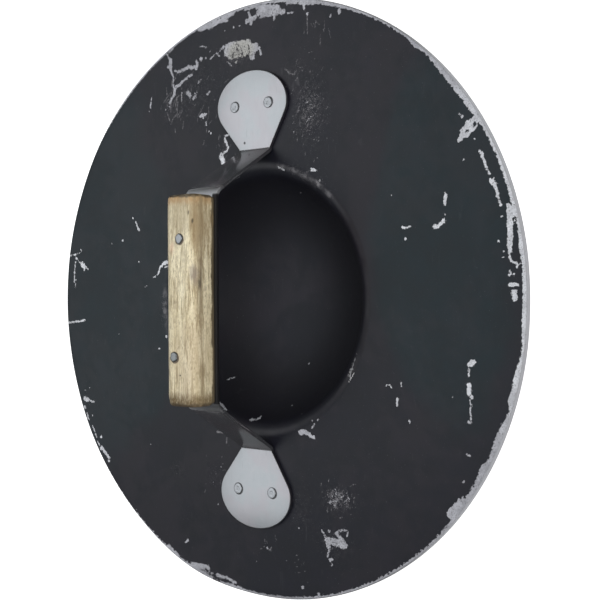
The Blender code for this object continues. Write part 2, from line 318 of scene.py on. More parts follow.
def nicks(seed, count, middle, spread, width, length, lean):
    """A cluster of short random nicks round a middle place. lean is their main direction in degrees."""
    chance = np.random.default_rng(seed)
    found = []
    for _ in range(count):
        start = np.array(middle) + chance.normal(0, 0.5, 2) * spread
        angle = math.radians(lean + chance.normal(0, 28))
        run = length * chance.uniform(0.2, 1.0) * np.array((math.cos(angle), math.sin(angle)))
        wide = width * chance.uniform(0.5, 1.0)
        found.append(stroke(wide, start, start + run, end=wide * 0.4))
    return found


upper_rim_marks = [
    stroke(1.5, (-40, 143.2), (-30, 144), (-22, 145.8), (-16, 147.3), end=1.2),
    stroke(2.9, (3, 144.6), (13, 144.2)),
    stroke(1.3, (14, 143), (18, 142.3)),
    stroke(1.3, (-6.5, 141.8), (-1, 142.7)),
    stroke(0.9, (-3.5, 140.2), (-3.2, 143)),
    stroke(0.7, (-5, 146), (-4.2, 143)),
    stroke(0.6, (-8, 147.8), (-1, 148.2)),
    stroke(1.0, (0.5, 147.5), (9, 147)),
    stroke(0.7, (12, 141), (11.8, 139.8)),
    stroke(0.5, (20.5, 141.3), (24, 141)),
    stroke(0.5, (19, 146.2), (24, 145.6), (28, 144.9)),
    stroke(0.9, (28.5, 145), (30.8, 144), (31.3, 140.8), end=0.5),
    stroke(0.8, (-33, 142.4), (-29.5, 143.4)),
    stroke(0.8, (-25, 144.6), (-20, 144.2)),
    stroke(1.0, (52.5, 137.5), (52.5, 136.3)),
    stroke(0.5, (-63.5, 134), (-60, 135.8)),
] + dots(0.7, (-15.3, 140.2), (33, 138.7), (47, 135.4)) + dots(0.4, (-11.4, 140.3), (-21.5, 139.5))

scuffed_patch_marks = [
    stroke(4.0, (-18.5, 128.8), (-7, 128.6)),
    stroke(1.4, (-18.5, 125.2), (-8, 125.3)),
    stroke(2.5, (-6, 127.5), (-1, 127.5)),
    stroke(0.7, (0, 129), (1.8, 127), (3.2, 123.3)),
    stroke(0.8, (-1.5, 126), (-2.5, 122)),
    stroke(0.8, (-4.5, 126), (-3.8, 122.5)),
    stroke(0.35, (-20, 123), (-17.5, 120.5)),
] + dots(1.2, (-23, 131)) + dots(0.7, (-14, 121.9))

left_crack_marks = [
    stroke(0.5, (-65, 133.5), (-63, 131)),
    stroke(1.3, (-62, 129.5), (-62, 125.5)),
    stroke(0.55, (-61.5, 125), (-61, 122.5), (-59.8, 120), (-60, 116), (-59, 114)),
    stroke(1.0, (-59, 113), (-58.8, 111)),
    stroke(0.7, (-59.5, 110.5), (-61, 109), (-62.5, 106.5)),
] + dots(0.8, (-63.8, 126.5)) + dots(0.45, (-63, 104.5), (-66, 103.3))

branch_marks = [
    stroke(0.3, (-59, 123.8), (-56.5, 122.7), end=0.6),
    stroke(0.6, (-56.5, 122.7), (-51, 123.3), end=0.9),
    stroke(0.9, (-51, 123.3), (-48, 124.3), (-45, 123.3), (-42.5, 123.5), end=1.1),
    stroke(1.1, (-42.5, 123), (-41.5, 124.8), (-42.5, 126.5), end=0.7),
    stroke(0.4, (-32, 126.2), (-30, 127.5), (-27.5, 128.7), (-26, 127)),
    stroke(0.5, (-25, 129.3), (-23, 131)),
    stroke(0.4, (-40, 134), (-37, 133.8), (-35, 132.8)),
    stroke(1.1, (-57.5, 114.8), (-55, 115.8), end=0.9),
    stroke(0.9, (-54.5, 116), (-52.5, 117), (-50, 118.4), (-48.5, 119.2), (-46, 119.4), end=0.6),
    stroke(0.35, (-40.8, 113.5), (-40.8, 115.8), (-39, 116.3)),
    stroke(1.2, (-49, 110.5), (-47, 108.5)),
    stroke(0.8, (-44.5, 107), (-43, 108.3)),
    stroke(0.4, (-43.5, 109.6), (-42, 110)),
    stroke(0.3, (-53.5, 111), (-53.5, 106.5)),
    stroke(0.55, (-34.5, 108), (-33, 109)),
    stroke(0.3, (-77, 111.5), (-77.8, 106), end=0.6),
    stroke(0.9, (-39.5, 97), (-36, 97.2)),
    stroke(0.55, (-35.5, 93), (-35.3, 91.5)),
] + dots(1.1, (-39, 127.2)) + dots(0.6, (-35.5, 127), (-37.5, 95.8)) + dots(
    0.38, (-32.5, 130.4), (-33.5, 88.5), (-32, 87), (-78.7, 104), (-75, 98.7)
)

top_neck_marks = [
    stroke(0.5, (-22.3, 83), (-22, 84.5), (-19.8, 85)),
    stroke(0.6, (-22, 83), (-20.5, 80), (-19.5, 78.5), (-20.5, 77), (-23, 76)),
    stroke(1.6, (-24.5, 74.5), (-23.5, 71.5)),
    stroke(0.3, (32, 86.2), (33.5, 87.8), (35, 88)),
] + dots(0.35, (32.5, 95.7), (34.8, 94.5), (24, 82))

boss_marks = [
    stroke(0.4, (14, 65.5), (17, 64)),
    stroke(0.6, (35, 62.6), (37.3, 62.2), end=0.8),
    stroke(0.5, (58.5, -33), (57.2, -35.5), (57.6, -38.5), end=0.25),
    stroke(0.2, (60.8, -26), (58, -34), end=0.35),
    stroke(0.2, (58.6, -30), (56, -37)),
    stroke(0.2, (60, -35), (57, -39)),
    stroke(1.3, (27.5, -65.5), (30, -65), (33, -66.5), (35.5, -67.5), end=1.0),
    stroke(0.4, (35.8, -61), (34.5, -63)),
    stroke(0.3, (-16.9, 62.8), (-14, 63.3)),
    stroke(0.6, (-8.6, -61.8), (-5.2, -62), (-4, -60.8)),
    stroke(0.25, (-29.4, -41.5), (-32.7, -43)),
    stroke(0.3, (-32, -53.5), (-24.6, -58)),
] + dots(0.5, (40, 57), (34.5, -59.5), (38, -58.7), (14.5, -33.3))

right_marks = [
    stroke(0.7, (117.6, 68.6), (120.2, 72.3), end=2.3),
    stroke(2.3, (120.2, 72.3), (123.2, 75.3), end=2.6),
    stroke(1.3, (121.3, 71.3), (125.5, 74.6)),
    stroke(1.2, (124.6, 76.8), (127.6, 76.4), end=0.7),
    stroke(0.9, (124.8, 78), (126, 79.5)),
    stroke(0.7, (128, 63.5), (129.5, 60), (131, 56), (132.5, 53.3), end=0.5),
    stroke(0.9, (133.3, 50.5), (134, 49)),
    stroke(0.9, (134.8, 49.5), (136, 45), (137.7, 39.5), end=0.6),
    stroke(1.1, (141.6, 39), (142.1, 33), end=1.5),
    stroke(1.5, (142.1, 33), (142.1, 25), end=1.4),
    stroke(1.4, (142.1, 25), (141.9, 20), end=1.1),
    stroke(1.6, (143.3, 37.2), (145.5, 35.6)),
    stroke(0.45, (141.3, 18.7), (142.5, 15.9), (144.3, 14.5), (148.5, 14.4)),
    stroke(0.4, (145.8, 14.5), (145.2, 12.5)),
    stroke(0.5, (141.5, 9.8), (143.7, 9.8)),
    stroke(0.8, (141.8, 5.4), (145.3, 5.4)),
    stroke(1.4, (143.8, 2.2), (144, -0.5)),
    stroke(0.8, (110.5, 46), (110.3, 43.5), (110, 41.5)),
    stroke(0.9, (109.5, 34.5), (108.5, 33), (105.5, 31.5), (104.3, 32)),
    stroke(0.5, (87.5, 32.5), (89, 31.8), (91.5, 32.6)),
] + dots(0.8, (121.7, 75.5), (89.3, 27)) + dots(
    0.5, (123.6, 74.5), (118, 80.3), (119.2, 79.2), (119.7, 60.4), (110.2, 37.3), (141.8, 11.5), (136.8, 24)
) + dots(0.35, (125.3, 68.9), (134.7, 51.5), (138.2, 34.5), (81.5, 47.3), (138.9, 19.8), (138.9, 17.3))

lower_right_marks = [
    stroke(1.3, (122, -29), (124, -28)),
    stroke(0.5, (121.8, -31), (121.8, -34)),
    stroke(1.1, (121.8, -38), (121.8, -42)),
    stroke(0.5, (122.2, -44.5), (122.6, -46.5), (122.2, -50)),
    stroke(0.5, (122.8, -51.5), (122.5, -54)),
    stroke(0.5, (120.5, -68.2), (122, -68.6)),
    stroke(0.4, (78.3, -40.5), (79.8, -39.8), (81, -41)),
    stroke(0.3, (85.8, -38), (86.5, -40)),
    stroke(0.6, (84, -45.8), (84, -49)),
    stroke(0.45, (44.5, -98), (47, -97.3), (51, -95.8), end=0.3),
    stroke(0.3, (48.5, -91), (49.2, -94.5)),
    stroke(0.45, (40, -111.8), (42.5, -115)),
    stroke(1.5, (43.3, -116), (46, -116.3), end=1.9),
    stroke(1.9, (46, -116.3), (53, -117)),
    stroke(1.2, (51, -114), (54.5, -117.5)),
    stroke(0.75, (48.8, -112.6), (50.5, -110.8), (55.5, -109.9), end=0.4),
    stroke(0.8, (49.5, -113), (51.5, -114.5)),
    stroke(0.4, (55.8, -110.3), (55.2, -112.6)),
    stroke(1.1, (43.6, -118), (44.2, -121), (43.7, -124), end=0.3),
    stroke(0.8, (44.8, -125.6), (46.5, -125)),
    stroke(1.9, (117.2, -90), (112.5, -95.5), end=2.2),
    stroke(0.9, (118.5, -88), (117, -91)),
] + dots(0.9, (123, -43), (121.8, -54.3), (38, -143), (28, -141.5)) + dots(
    0.65, (90.7, -56), (119, -80.5), (44.5, -111.8), (46.3, -127.7), (5.5, -125.3)
) + dots(0.35, (113.4, -43.6), (5.3, -122.8), (7, -126), (18, -130.2)) + nicks(
    11, 16, (51, -96), (7, 4), 0.3, 2.4, 62
)

lower_rim_marks = [
    stroke(1.2, (-50, -141.3), (-36, -141.6), end=1.6),
    stroke(1.2, (-47, -143.2), (-33, -144.6)),
    stroke(0.9, (-36, -146), (-26, -147.2)),
    stroke(1.0, (-29, -144.3), (-23, -144.6), (-16, -146.3), end=0.7),
    stroke(0.9, (-24, -147.6), (-12, -148.4)),
    stroke(0.9, (-65.5, -133.7), (-62, -135.5), (-57, -138.5)),
    stroke(0.7, (-52.3, -130.5), (-50.8, -128.8)),
] + dots(0.5, (-91, -117), (-77, -127.5), (-79.3, -79.8), (-28.3, -107)) + dots(
    0.35, (-25.8, -87), (-30, -91.5), (-31.5, -96)
)

left_marks = [
    stroke(0.35, (-90, 43.5), (-88.5, 40.5), (-87.5, 38.7), end=0.8),
    stroke(0.35, (-146.5, 26.3), (-141, 27), (-137, 28), (-137, 29.5)),
    stroke(0.5, (-141.5, 25), (-142.7, 19), (-143.2, 11)),
    stroke(0.4, (-141, 24.5), (-138, 22)),
    stroke(1.6, (-136, 20.8), (-134.2, 19.3), end=1.3),
    stroke(0.4, (-133.5, 20), (-130, 17.6), end=0.25),
    stroke(0.3, (-133.5, 19), (-134.5, 16.5)),
    stroke(0.25, (-148, 32.5), (-145, 32)),
    stroke(0.3, (-141.8, 12), (-142.3, 7), end=0.15),
    stroke(1.0, (-65, 20.6), (-67.5, 20)),
    stroke(0.8, (-67.5, 20), (-70.8, 17.6), (-72.2, 14), end=0.45),
    stroke(0.35, (-76, 12.2), (-73, 13.8)),
    stroke(0.4, (-67, 17.8), (-65, 17.9)),
    stroke(0.16, (-83.7, 6.8), (-81.5, 7.7)),
    stroke(0.6, (-149, -13.2), (-140, -12.5), (-134, -11.8)),
    stroke(1.4, (-134.5, -57.5), (-131.5, -58)),
    stroke(0.6, (-130, -58.5), (-126.5, -59)),
    stroke(0.6, (-132.5, -66), (-130.5, -70)),
    stroke(0.5, (-127.5, -73), (-124, -79)),
    stroke(1.0, (-119.5, -85), (-116, -88), (-113.5, -90)),
    stroke(0.6, (-123, -82), (-120, -86)),
] + dots(0.9, (-134.5, -62.5), (-113.5, -92)) + dots(
    0.65, (-101, 33.5), (-87.7, 21.2), (-66, -20.2), (-133.7, -52.9), (-127.5, -67), (-120, -78.8)
) + dots(0.42, (-92.3, 45.7), (-109.8, 32), (-104.5, -19.3), (-71.8, -26.8), (-130.2, -50.9))

back_marks = (
    upper_rim_marks + scuffed_patch_marks + left_crack_marks + branch_marks + top_neck_marks
    + boss_marks + right_marks + lower_right_marks + lower_rim_marks + left_marks
)
fine_marks = (
    [
        stroke(0.35, (-57, 109), (-58.5, 104), end=0.15),
        stroke(0.3, (-56.5, 106.5), (-57, 100.5), end=0.15),
        stroke(0.3, (-53.6, 111), (-53.8, 106.5), end=0.2),
        stroke(0.25, (18.5, 113.8), (20, 113), (21, 111.5), (24.5, 110.3), end=0.15),
        stroke(0.3, (33, 138), (33, 129), end=0.1),
        stroke(0.5, (-28.5, -69.2), (-23, -69.5), end=0.2),
        stroke(0.4, (-21.8, -72), (-22, -74.5)),
    ]
    + nicks(3, 26, (-61, 107), (8, 12), 0.22, 6.0, 68)
    + nicks(5, 22, (-45, 108), (24, 18), 0.18, 4.0, 72)
    + nicks(6, 14, (-38, 92), (16, 14), 0.16, 2.5, 60)
    + nicks(7, 70, (34, 92), (14, 24), 0.16, 1.8, 45)
    + nicks(8, 14, (26, 112), (10, 10), 0.14, 2.5, 30)
    + nicks(11, 40, (49, -96), (13, 8), 0.20, 2.4, 62)
    + nicks(12, 12, (5, -124), (7, 8), 0.18, 1.5, 60)
    + nicks(13, 10, (22, -131), (10, 5), 0.18, 1.2, 20)
    + nicks(14, 12, (-24, 78), (7, 9), 0.18, 1.5, 80)
    + nicks(15, 14, (-30, -92), (10, 12), 0.16, 1.4, 60)
    + nicks(16, 10, (40, 128), (12, 12), 0.14, 5.0, 95)
)
print(len(back_marks), "strokes and", len(fine_marks), "fine nicks on the wearer's side")

# Islands of paint that are left inside bare patches
paint_islands = [
    stroke(0.15, (144.5, 34.5), (144.9, 29), end=0.7),
    stroke(0.8, (145.0, 28), (145.1, 22), end=1.2),
    stroke(1.3, (145.1, 21), (144.9, 17.6), end=1.6),
    stroke(0.9, (-2.3, 146.3)),
    stroke(0.5, (-38, -142.6), (-31.5, -145.3), end=0.3),
    stroke(0.5, (-31.5, -145.9), (-24, -146.2)),
    stroke(0.35, (-21, -145.8), (-16, -147.6)),
    stroke(0.45, (-13.5, 131), (-13.2, 127)),
    stroke(0.35, (-10, 130), (-9.8, 125)),
    stroke(0.35, (-16.5, 127.5), (-16.3, 124.5)),
    stroke(0.4, (-5, 129), (-4.8, 126)),
] + dots(0.7, (2, 142.6)) + dots(0.95, (121.8, 73), (125.4, 75.3))

# The bare border of the rim: where round the plate, and how far from the middle it starts
rim_border = [
    (-180, 150.2), (-140, 149.6), (-120, 149.0), (-110, 148.7), (-80, 148.6), (-62, 148.8), (-46, 149.0),
    (-40, 148.6), (-32, 147.8), (-30.2, 147.0), (-27.8, 148.1), (-24, 147.3), (-21.9, 147.6), (-18.8, 148.9),
    (-17.2, 147.1), (-15.5, 147.6), (-12.1, 147.4), (-10.4, 148.5), (-7.7, 148.4), (-3.9, 147.7), (0, 147.5),
    (3.5, 148.0), (10, 147.8), (19.5, 148.3), (21.6, 148.5), (30, 148.5), (32.7, 147.6), (38, 147.1),
    (42.8, 147.2), (48, 148.8), (50.2, 147.3), (52.7, 148.8), (60, 148.8), (68, 148.2), (74, 147.7),
    (77, 146.8), (79, 147.8), (85, 148.3), (108, 148.6), (135, 148.8), (143, 149.8),
    (160, 150.3), (180, 150.2),
]

# %% Distance of points from bare steel
FAR = 50.0


def distance_to(marks, points):
    """Distance in millimetres of each point from the nearest of the marks, with a minus inside them."""
    nearest = np.full(len(points), FAR)
    for places, widths in marks:
        for start, end, wide, narrow in zip(places[:-1], places[1:], widths[:-1], widths[1:]):
            run = end - start
            share = np.clip((points - start) @ run / max(run @ run, 1e-9), 0, 1)
            away = np.hypot(*(points - start - share[:, None] * run).T)
            nearest = np.minimum(nearest, away - wide - (narrow - wide) * share)
    return nearest


def way_round_rim(places):
    """Millimetres along the section of the rim from the middle of the back, over the edge to the front."""
    out = np.hypot(places[:, 0], places[:, 1]) / MM
    height = places[:, 2] / MM
    edge = FLAT_EDGE / MM
    bend = RIM_ROUNDING / MM
    quarter = bend * math.pi / 2
    upper = BACK_FACE / MM - bend
    lower = FRONT_FACE / MM + bend
    way = np.where(height > lower, out, 2 * edge + 2 * quarter + upper - lower - out)
    over = edge + bend * np.arctan2(out - edge, height - upper)
    under = edge + quarter + upper - lower + bend * np.arctan2(lower - height, out - edge)
    way = np.where((out > edge) & (height >= upper), over, way)
    way = np.where((out > edge) & (height <= lower), under, way)
    return np.where((out > edge) & (height < upper) & (height > lower), edge + quarter, way)


FRONT_BORDER = 153.6
FRONT_BORDER_WAVE = 0.5


def border_distance(places):
    """Distance in millimetres from the bare border that runs round the rim, with a minus inside it."""
    angles = np.degrees(np.arctan2(places[:, 1], places[:, 0]))
    way = way_round_rim(places)
    inner = np.interp(angles, *np.array(rim_border).T)
    outer = FRONT_BORDER + FRONT_BORDER_WAVE * np.sin(np.radians(angles) * 7)
    return np.maximum(inner - way, way - outer)


# %% Refine the sheet near the marks, so that their edges are crisp
BORDER_REFINED_FROM = 30 * MM
faces_before = len(plate.data.polygons)
for near in (4.2, 2.3, 1.0):
    middles = rows_of(plate.data.polygons, "center")
    on_back = rows_of(plate.data.polygons, "normal")[:, 2] > 0.3
    flat = middles[:, :2] / MM
    to_marks = np.abs(distance_to(back_marks + paint_islands, flat))
    to_marks = np.minimum(to_marks, 1.2 * np.abs(distance_to(fine_marks, flat)))
    near_border = (np.abs(border_distance(middles)) < near / 2) & (middles[:, 0] > BORDER_REFINED_FROM)
    select_parts(plate, "FACE", (on_back & (to_marks < near)) | near_border)
    bpy.ops.mesh.subdivide(number_cuts=1)
    bpy.ops.object.mode_set(mode="OBJECT")
print("faces before and after refining:", faces_before, len(plate.data.polygons))


# %% Settle the new points on the true round surface
def settled(places):
    """Moves points from the straight lines between rings and turns onto the turned surface."""
    half_turn = math.pi / TURN_STEPS
    angles = np.arctan2(places[:, 1], places[:, 0])
    off_middle = np.mod(angles, 2 * half_turn) - half_turn
    out = np.hypot(places[:, 0], places[:, 1]) * np.cos(off_middle) / math.cos(half_turn)
    height = places[:, 2].copy()
    fine_line = np.array(hollow_line(300, 120))
    hollow_height = np.interp(out, fine_line[:, 0], fine_line[:, 1])
    on_back = (out <= FLAT_EDGE) & (np.abs(height - hollow_height) < SHEET / 4)
    height[on_back] = hollow_height[on_back]
    for middle, side in ((BACK_FACE - RIM_ROUNDING, 1), (FRONT_FACE + RIM_ROUNDING, -1)):
        bent = (out > FLAT_EDGE) & ((height - middle) * side > 0)
        away = np.hypot(out[bent] - FLAT_EDGE, height[bent] - middle)
        out[bent] = FLAT_EDGE + (out[bent] - FLAT_EDGE) * RIM_ROUNDING / away
        height[bent] = middle + (height[bent] - middle) * RIM_ROUNDING / away
    return np.stack((out * np.cos(angles), out * np.sin(angles), height), axis=1)


places = settled(rows_of(plate.data.vertices, "co"))

# %% Work out the values that the paint reads, while the sheet is still even
scuffs = [
    # x, y, half width, half height, strength, all but the last in millimetres
    (34, 92, 10, 17, 0.95),
    (26, 112, 8, 8, 0.4),
    (-13, 126, 11, 7, 0.9),
    (-24, 78, 3, 4, 0.6),
    (-44, 112, 18, 16, 0.55),
    (-60, 104, 8, 10, 0.6),
    (-68, -3, 2.5, 10, 0.9),
    (-58, -92, 5, 4, 0.7),
    (26, -103, 10, 12, 0.4),
    (16, 66, 3, 2, 0.8),
    (23, 63.5, 4, 3, 0.9),
    (30, 60.5, 5, 3, 1.0),
    (38, 56, 5, 3, 0.8),
    (45, 50, 4, 4, 0.5),
    (50, -96, 10, 6, 1.0),
    (47, -118, 10, 8, 0.55),
    (-30, -92, 8, 8, 0.35),
    (-135, -60, 8, 8, 0.35),
    (-35, -144, 14, 2, 0.5),
    (8, 143, 16, 3, 0.5),
]
flat = places[:, :2] / MM
faces_back = rows_of(plate.data.vertices, "normal")[:, 2] > 0.0
islands = -distance_to(paint_islands, flat)
bare = np.where(faces_back, np.maximum(distance_to(back_marks, flat), islands), FAR)
bare = np.minimum(bare, np.maximum(border_distance(places), np.where(faces_back, islands, -FAR)))
scuff = np.zeros(len(places))
for x, y, half_width, half_height, strength in scuffs:
    away = np.hypot((flat[:, 0] - x) / half_width, (flat[:, 1] - y) / half_height)
    scuff = np.maximum(scuff, strength * np.exp(-away ** 2))
crown_wear = 0.15 + 0.45 * np.exp(-(np.hypot(*flat.T) / 40) ** 2)
store_values(plate, "bare_mm", bare)
store_values(plate, "scuff", np.where(faces_back, scuff, crown_wear))
store_values(plate, "fine_mm", np.where(faces_back, distance_to(fine_marks, flat), FAR))
store_values(plate, "over_edge_mm", np.clip(way_round_rim(places) - FLAT_EDGE / MM, 0, 6))
print("points inside bare steel:", int((bare < 0).sum()), "of", len(bare))


# %% Unevenness: the sheet isn't quite flat, and the rim not quite round
WAVE_HEIGHT = 0.25 * MM
WAVES_PER_METRE = 18
WAVES_BEGIN = 30 * MM
RIM_WAVE = 0.12 * MM
RIM_WAVE_BEGINS = 110 * MM
BULGE_BEGINS = 147.6 * MM
BULGE_FULL = 149.4 * MM
BULGES = (
    # angle and width in degrees, height in millimetres: where the blank was cut less round
    (-110, 12, 1.3),
    (-38, 34, 0.85),
    (25, 16, 0.35),
)


def ramp(value, start, end):
    """0 up to start, 1 from end on, and straight between them."""
    return min(1.0, max(0.0, value - start) / (end - start))


def rim_shift(angle):
    """How far the rim waves in at an angle."""
    way = Vector((math.cos(angle) * 3.0, math.sin(angle) * 3.0, 4.7))
    return RIM_WAVE * (noise.noise(way) - 0.75)


def rim_bulge(angle):
    """How far the outermost edge stands out at an angle. It fades towards the four outermost points."""
    degrees = math.degrees(angle)
    out = sum(height * math.exp(-((degrees - middle) / width) ** 2) for middle, width, height in BULGES)
    to_axis = abs((degrees + 45) % 90 - 45)
    return out * MM * (1 - math.exp(-(to_axis / 7) ** 2))


def uneven(places):
    """Lifts and shifts points a little by their place, alike on both sides of the sheet."""
    moved = places.copy()
    for row in moved:
        out = math.hypot(row[0], row[1])
        angle = math.atan2(row[1], row[0])
        lift = noise.noise(Vector((row[0], row[1], 0.3)) * WAVES_PER_METRE)
        row[2] += WAVE_HEIGHT * lift * ramp(out, WAVES_BEGIN, 2 * WAVES_BEGIN)
        shift = rim_shift(angle) * ramp(out, RIM_WAVE_BEGINS, PLATE_RADIUS)
        shift += rim_bulge(angle) * ramp(out, BULGE_BEGINS, BULGE_FULL)
        row[0] += shift * math.cos(angle)
        row[1] += shift * math.sin(angle)
    return moved


write_places(plate, uneven(places))
smooth(plate)

# %% [markdown]
# ## The bent strap of the handle
#
# The real strap is a flat steel bar. Its two ends are forged out wide, cut to a spade shape by hand and
# riveted to the plate. The bar is then bent up and over in four bends, to clear the fingers.
#
# Here it is made in the same order. The flat blank's outline is drawn point by point and filled, cut
# across where it will bend, and then bent by moving its points along the bent line. Solidify gives the
# bar its thickness and Bevel rounds the sawn edges.

# %% Sizes of the strap
STRAP_WIDTH = 20.6 * MM
STRAP_THICKNESS = 2.0 * MM
GRIP_BEND = 6.0 * MM
FOOT_BEND = 2.5 * MM
GRIP_BEND_PLACE = GRIP_LENGTH / 2 + 1.6 * MM
FOOT_BEND_PLACE = MOUTH_RADIUS + 4.5 * MM
PADDLE_WIDTH = 46.4 * MM
PADDLE_NECK = 23.9 * MM
PADDLE_END = 17.1 * MM
TOP_PADDLE_SHIFT = -2.1 * MM
BOTTOM_PADDLE_SHIFT = -1.0 * MM
PADDLE_STEPS = 44
BEND_STEPS = 12
STRAP_EDGE_ROUNDING = 0.4 * MM
SEAT = 0.05 * MM

PADDLE_TOP = BACK_FACE + SEAT + STRAP_THICKNESS
LEG_RISE = STRAP_TOP - PADDLE_TOP
LEG_ANGLE = math.atan2(LEG_RISE, FOOT_BEND_PLACE - GRIP_BEND_PLACE)
GRIP_TANGENT = GRIP_BEND * math.tan(LEG_ANGLE / 2)
FOOT_TANGENT = FOOT_BEND * math.tan(LEG_ANGLE / 2)
LEG_LENGTH = math.hypot(LEG_RISE, FOOT_BEND_PLACE - GRIP_BEND_PLACE)
GRIP_BEND_START = GRIP_BEND_PLACE - GRIP_TANGENT
GRIP_BEND_END = GRIP_BEND_START + GRIP_BEND * LEG_ANGLE
FOOT_BEND_START = GRIP_BEND_END + LEG_LENGTH - GRIP_TANGENT - FOOT_TANGENT
FOOT_BEND_END = FOOT_BEND_START + FOOT_BEND * LEG_ANGLE
PADDLE_MIDDLE = FOOT_BEND_PLACE + PADDLE_NECK
print("legs stand at", round(math.degrees(LEG_ANGLE), 1), "degrees")

# %% Outline of the flat blank
def touch_angle(neck_x, neck_y):
    """Angle on a unit circle where a straight line from a point on its lower right touches it."""
    return math.atan2(neck_y, neck_x) + math.acos(1 / math.hypot(neck_x, neck_y))


def paddle_outline(shift):
    """Half a blank beyond the foot bend: straight tapers that run into an elliptical end."""
    half_width = PADDLE_WIDTH / 2
    middle = FOOT_BEND_END + PADDLE_NECK - FOOT_TANGENT
    neck = (FOOT_BEND_END - middle) / PADDLE_END
    start = touch_angle((STRAP_WIDTH / 2 - shift) / half_width, neck)
    end = math.pi - touch_angle((STRAP_WIDTH / 2 + shift) / half_width, neck)
    points = [(STRAP_WIDTH / 2, FOOT_BEND_END)]
    for step in range(PADDLE_STEPS + 1):
        angle = start + (end - start) * step / PADDLE_STEPS
        points.append((shift + half_width * math.cos(angle), middle + PADDLE_END * math.sin(angle)))
    points.append((-STRAP_WIDTH / 2, FOOT_BEND_END))
    return points


top_half = paddle_outline(TOP_PADDLE_SHIFT)
bottom_half = [(-x, -y) for x, y in paddle_outline(-BOTTOM_PADDLE_SHIFT)]
outline = [(x, y, 0.0) for x, y in top_half + bottom_half]

# %% Draw and fill the blank, and cut it across at the bends
LEG_PARTS = 6

strap = start_line("handle_strap_visual", outline + outline[:1])
bpy.ops.mesh.remove_doubles(threshold=TINY)
bpy.ops.mesh.edge_face_add()
bend_lines = []
for start, end, steps in (
    (GRIP_BEND_START, GRIP_BEND_END, BEND_STEPS),
    (GRIP_BEND_END, FOOT_BEND_START, LEG_PARTS),
    (FOOT_BEND_START, FOOT_BEND_END, BEND_STEPS),
):
    bend_lines += [start + (end - start) * step / steps for step in range(steps)]
bend_lines.append(FOOT_BEND_END)
for line in bend_lines + [-line for line in bend_lines]:
    bpy.ops.mesh.select_all(action="SELECT")
    bpy.ops.mesh.bisect(plane_co=(0, line, 0), plane_no=(0, 1, 0))
bpy.ops.object.mode_set(mode="OBJECT")
print("flat blank:", len(strap.data.vertices), "vertices,", len(strap.data.polygons), "faces")

# %% Bend the blank
def bent_place(along):
    """Place (y, z) in the middle of the bent bar's thickness for a place along the flat blank."""
    reach = abs(along)
    top = STRAP_TOP - STRAP_THICKNESS / 2
    foot = PADDLE_TOP - STRAP_THICKNESS / 2
    if reach <= GRIP_BEND_START:
        y, z = reach, top
    elif reach <= GRIP_BEND_END:
        turn = (reach - GRIP_BEND_START) / GRIP_BEND
        y = GRIP_BEND_START + GRIP_BEND * math.sin(turn)
        z = top - GRIP_BEND * (1 - math.cos(turn))
    elif reach <= FOOT_BEND_START:
        down = GRIP_TANGENT + reach - GRIP_BEND_END
        y = GRIP_BEND_PLACE + down * math.cos(LEG_ANGLE)
        z = top - down * math.sin(LEG_ANGLE)
    elif reach <= FOOT_BEND_END:
        turn = (FOOT_BEND_END - reach) / FOOT_BEND
        y = FOOT_BEND_PLACE + FOOT_TANGENT - FOOT_BEND * math.sin(turn)
        z = foot + FOOT_BEND * (1 - math.cos(turn))
    else:
        y, z = FOOT_BEND_PLACE + FOOT_TANGENT + reach - FOOT_BEND_END, foot
    return math.copysign(y, along), z
places = rows_of(strap.data.vertices, "co")
for row in places:
    row[1], row[2] = bent_place(row[1])
write_places(strap, places)
bpy.ops.object.mode_set(mode="EDIT")
close_up()
if strap.data.polygons[0].normal.z < 0:
    strap.data.flip_normals()
add_modifier(strap, "SOLIDIFY", thickness=STRAP_THICKNESS, offset=0.0, use_even_offset=True)
add_modifier(
    strap, "BEVEL", width=STRAP_EDGE_ROUNDING, segments=3, limit_method="ANGLE",
    angle_limit=math.radians(60),
)
smooth(strap, 30)

# %% [markdown]
# ## The wooden grip
#
# The real grip is one stick of light wood. It is sawn flat underneath, to sit on the strap, and its
# upper edges are rounded with a rasp to fit the fingers. The ends are only broken a little.
#
# A box at the stick's size is a good start. Its long upper edges get a wide bevel and then its ends get
# a small one, in the order a woodworker rounds them. Cuts across it give points for the slight waves
# that the rasp and many hands have left.

# %% Make the grip
GRIP_SIDE_ROUNDING = 5.0 * MM
GRIP_END_ROUNDING = 2.1 * MM
GRIP_CUTS = 60
CROWN_CUTS = 6
RASP_WAVE = 0.16 * MM
GRIP_SHIFT = -0.9 * MM
LOWER_END_LONGER = 1.0 * MM
CORNER_ROUNDING = {
    ("top", "left"): 2.4 * MM, ("top", "right"): 1.6 * MM,
    ("bottom", "left"): 4.4 * MM, ("bottom", "right"): 2.2 * MM,
}


def round_edges(piece, test, offset, segments):
    """Bevels the edges whose two ends pass a test, and stays in edit mode."""
    places = [vertex.co for vertex in piece.data.vertices]
    chosen = [test(places[edge.vertices[0]], places[edge.vertices[1]]) for edge in piece.data.edges]
    select_parts(piece, "EDGE", chosen)
    bpy.ops.mesh.bevel(offset=offset, segments=segments, affect="EDGES")
    print("edges rounded:", sum(chosen))


def long_upper_edge(one, other):
    return min(one.z, other.z) > GRIP_CROWN - TINY and abs(one.x - other.x) < TINY


def end_edge(one, other):
    return abs(abs(one.y) - GRIP_LENGTH / 2) < TINY and abs(one.y - other.y) < TINY


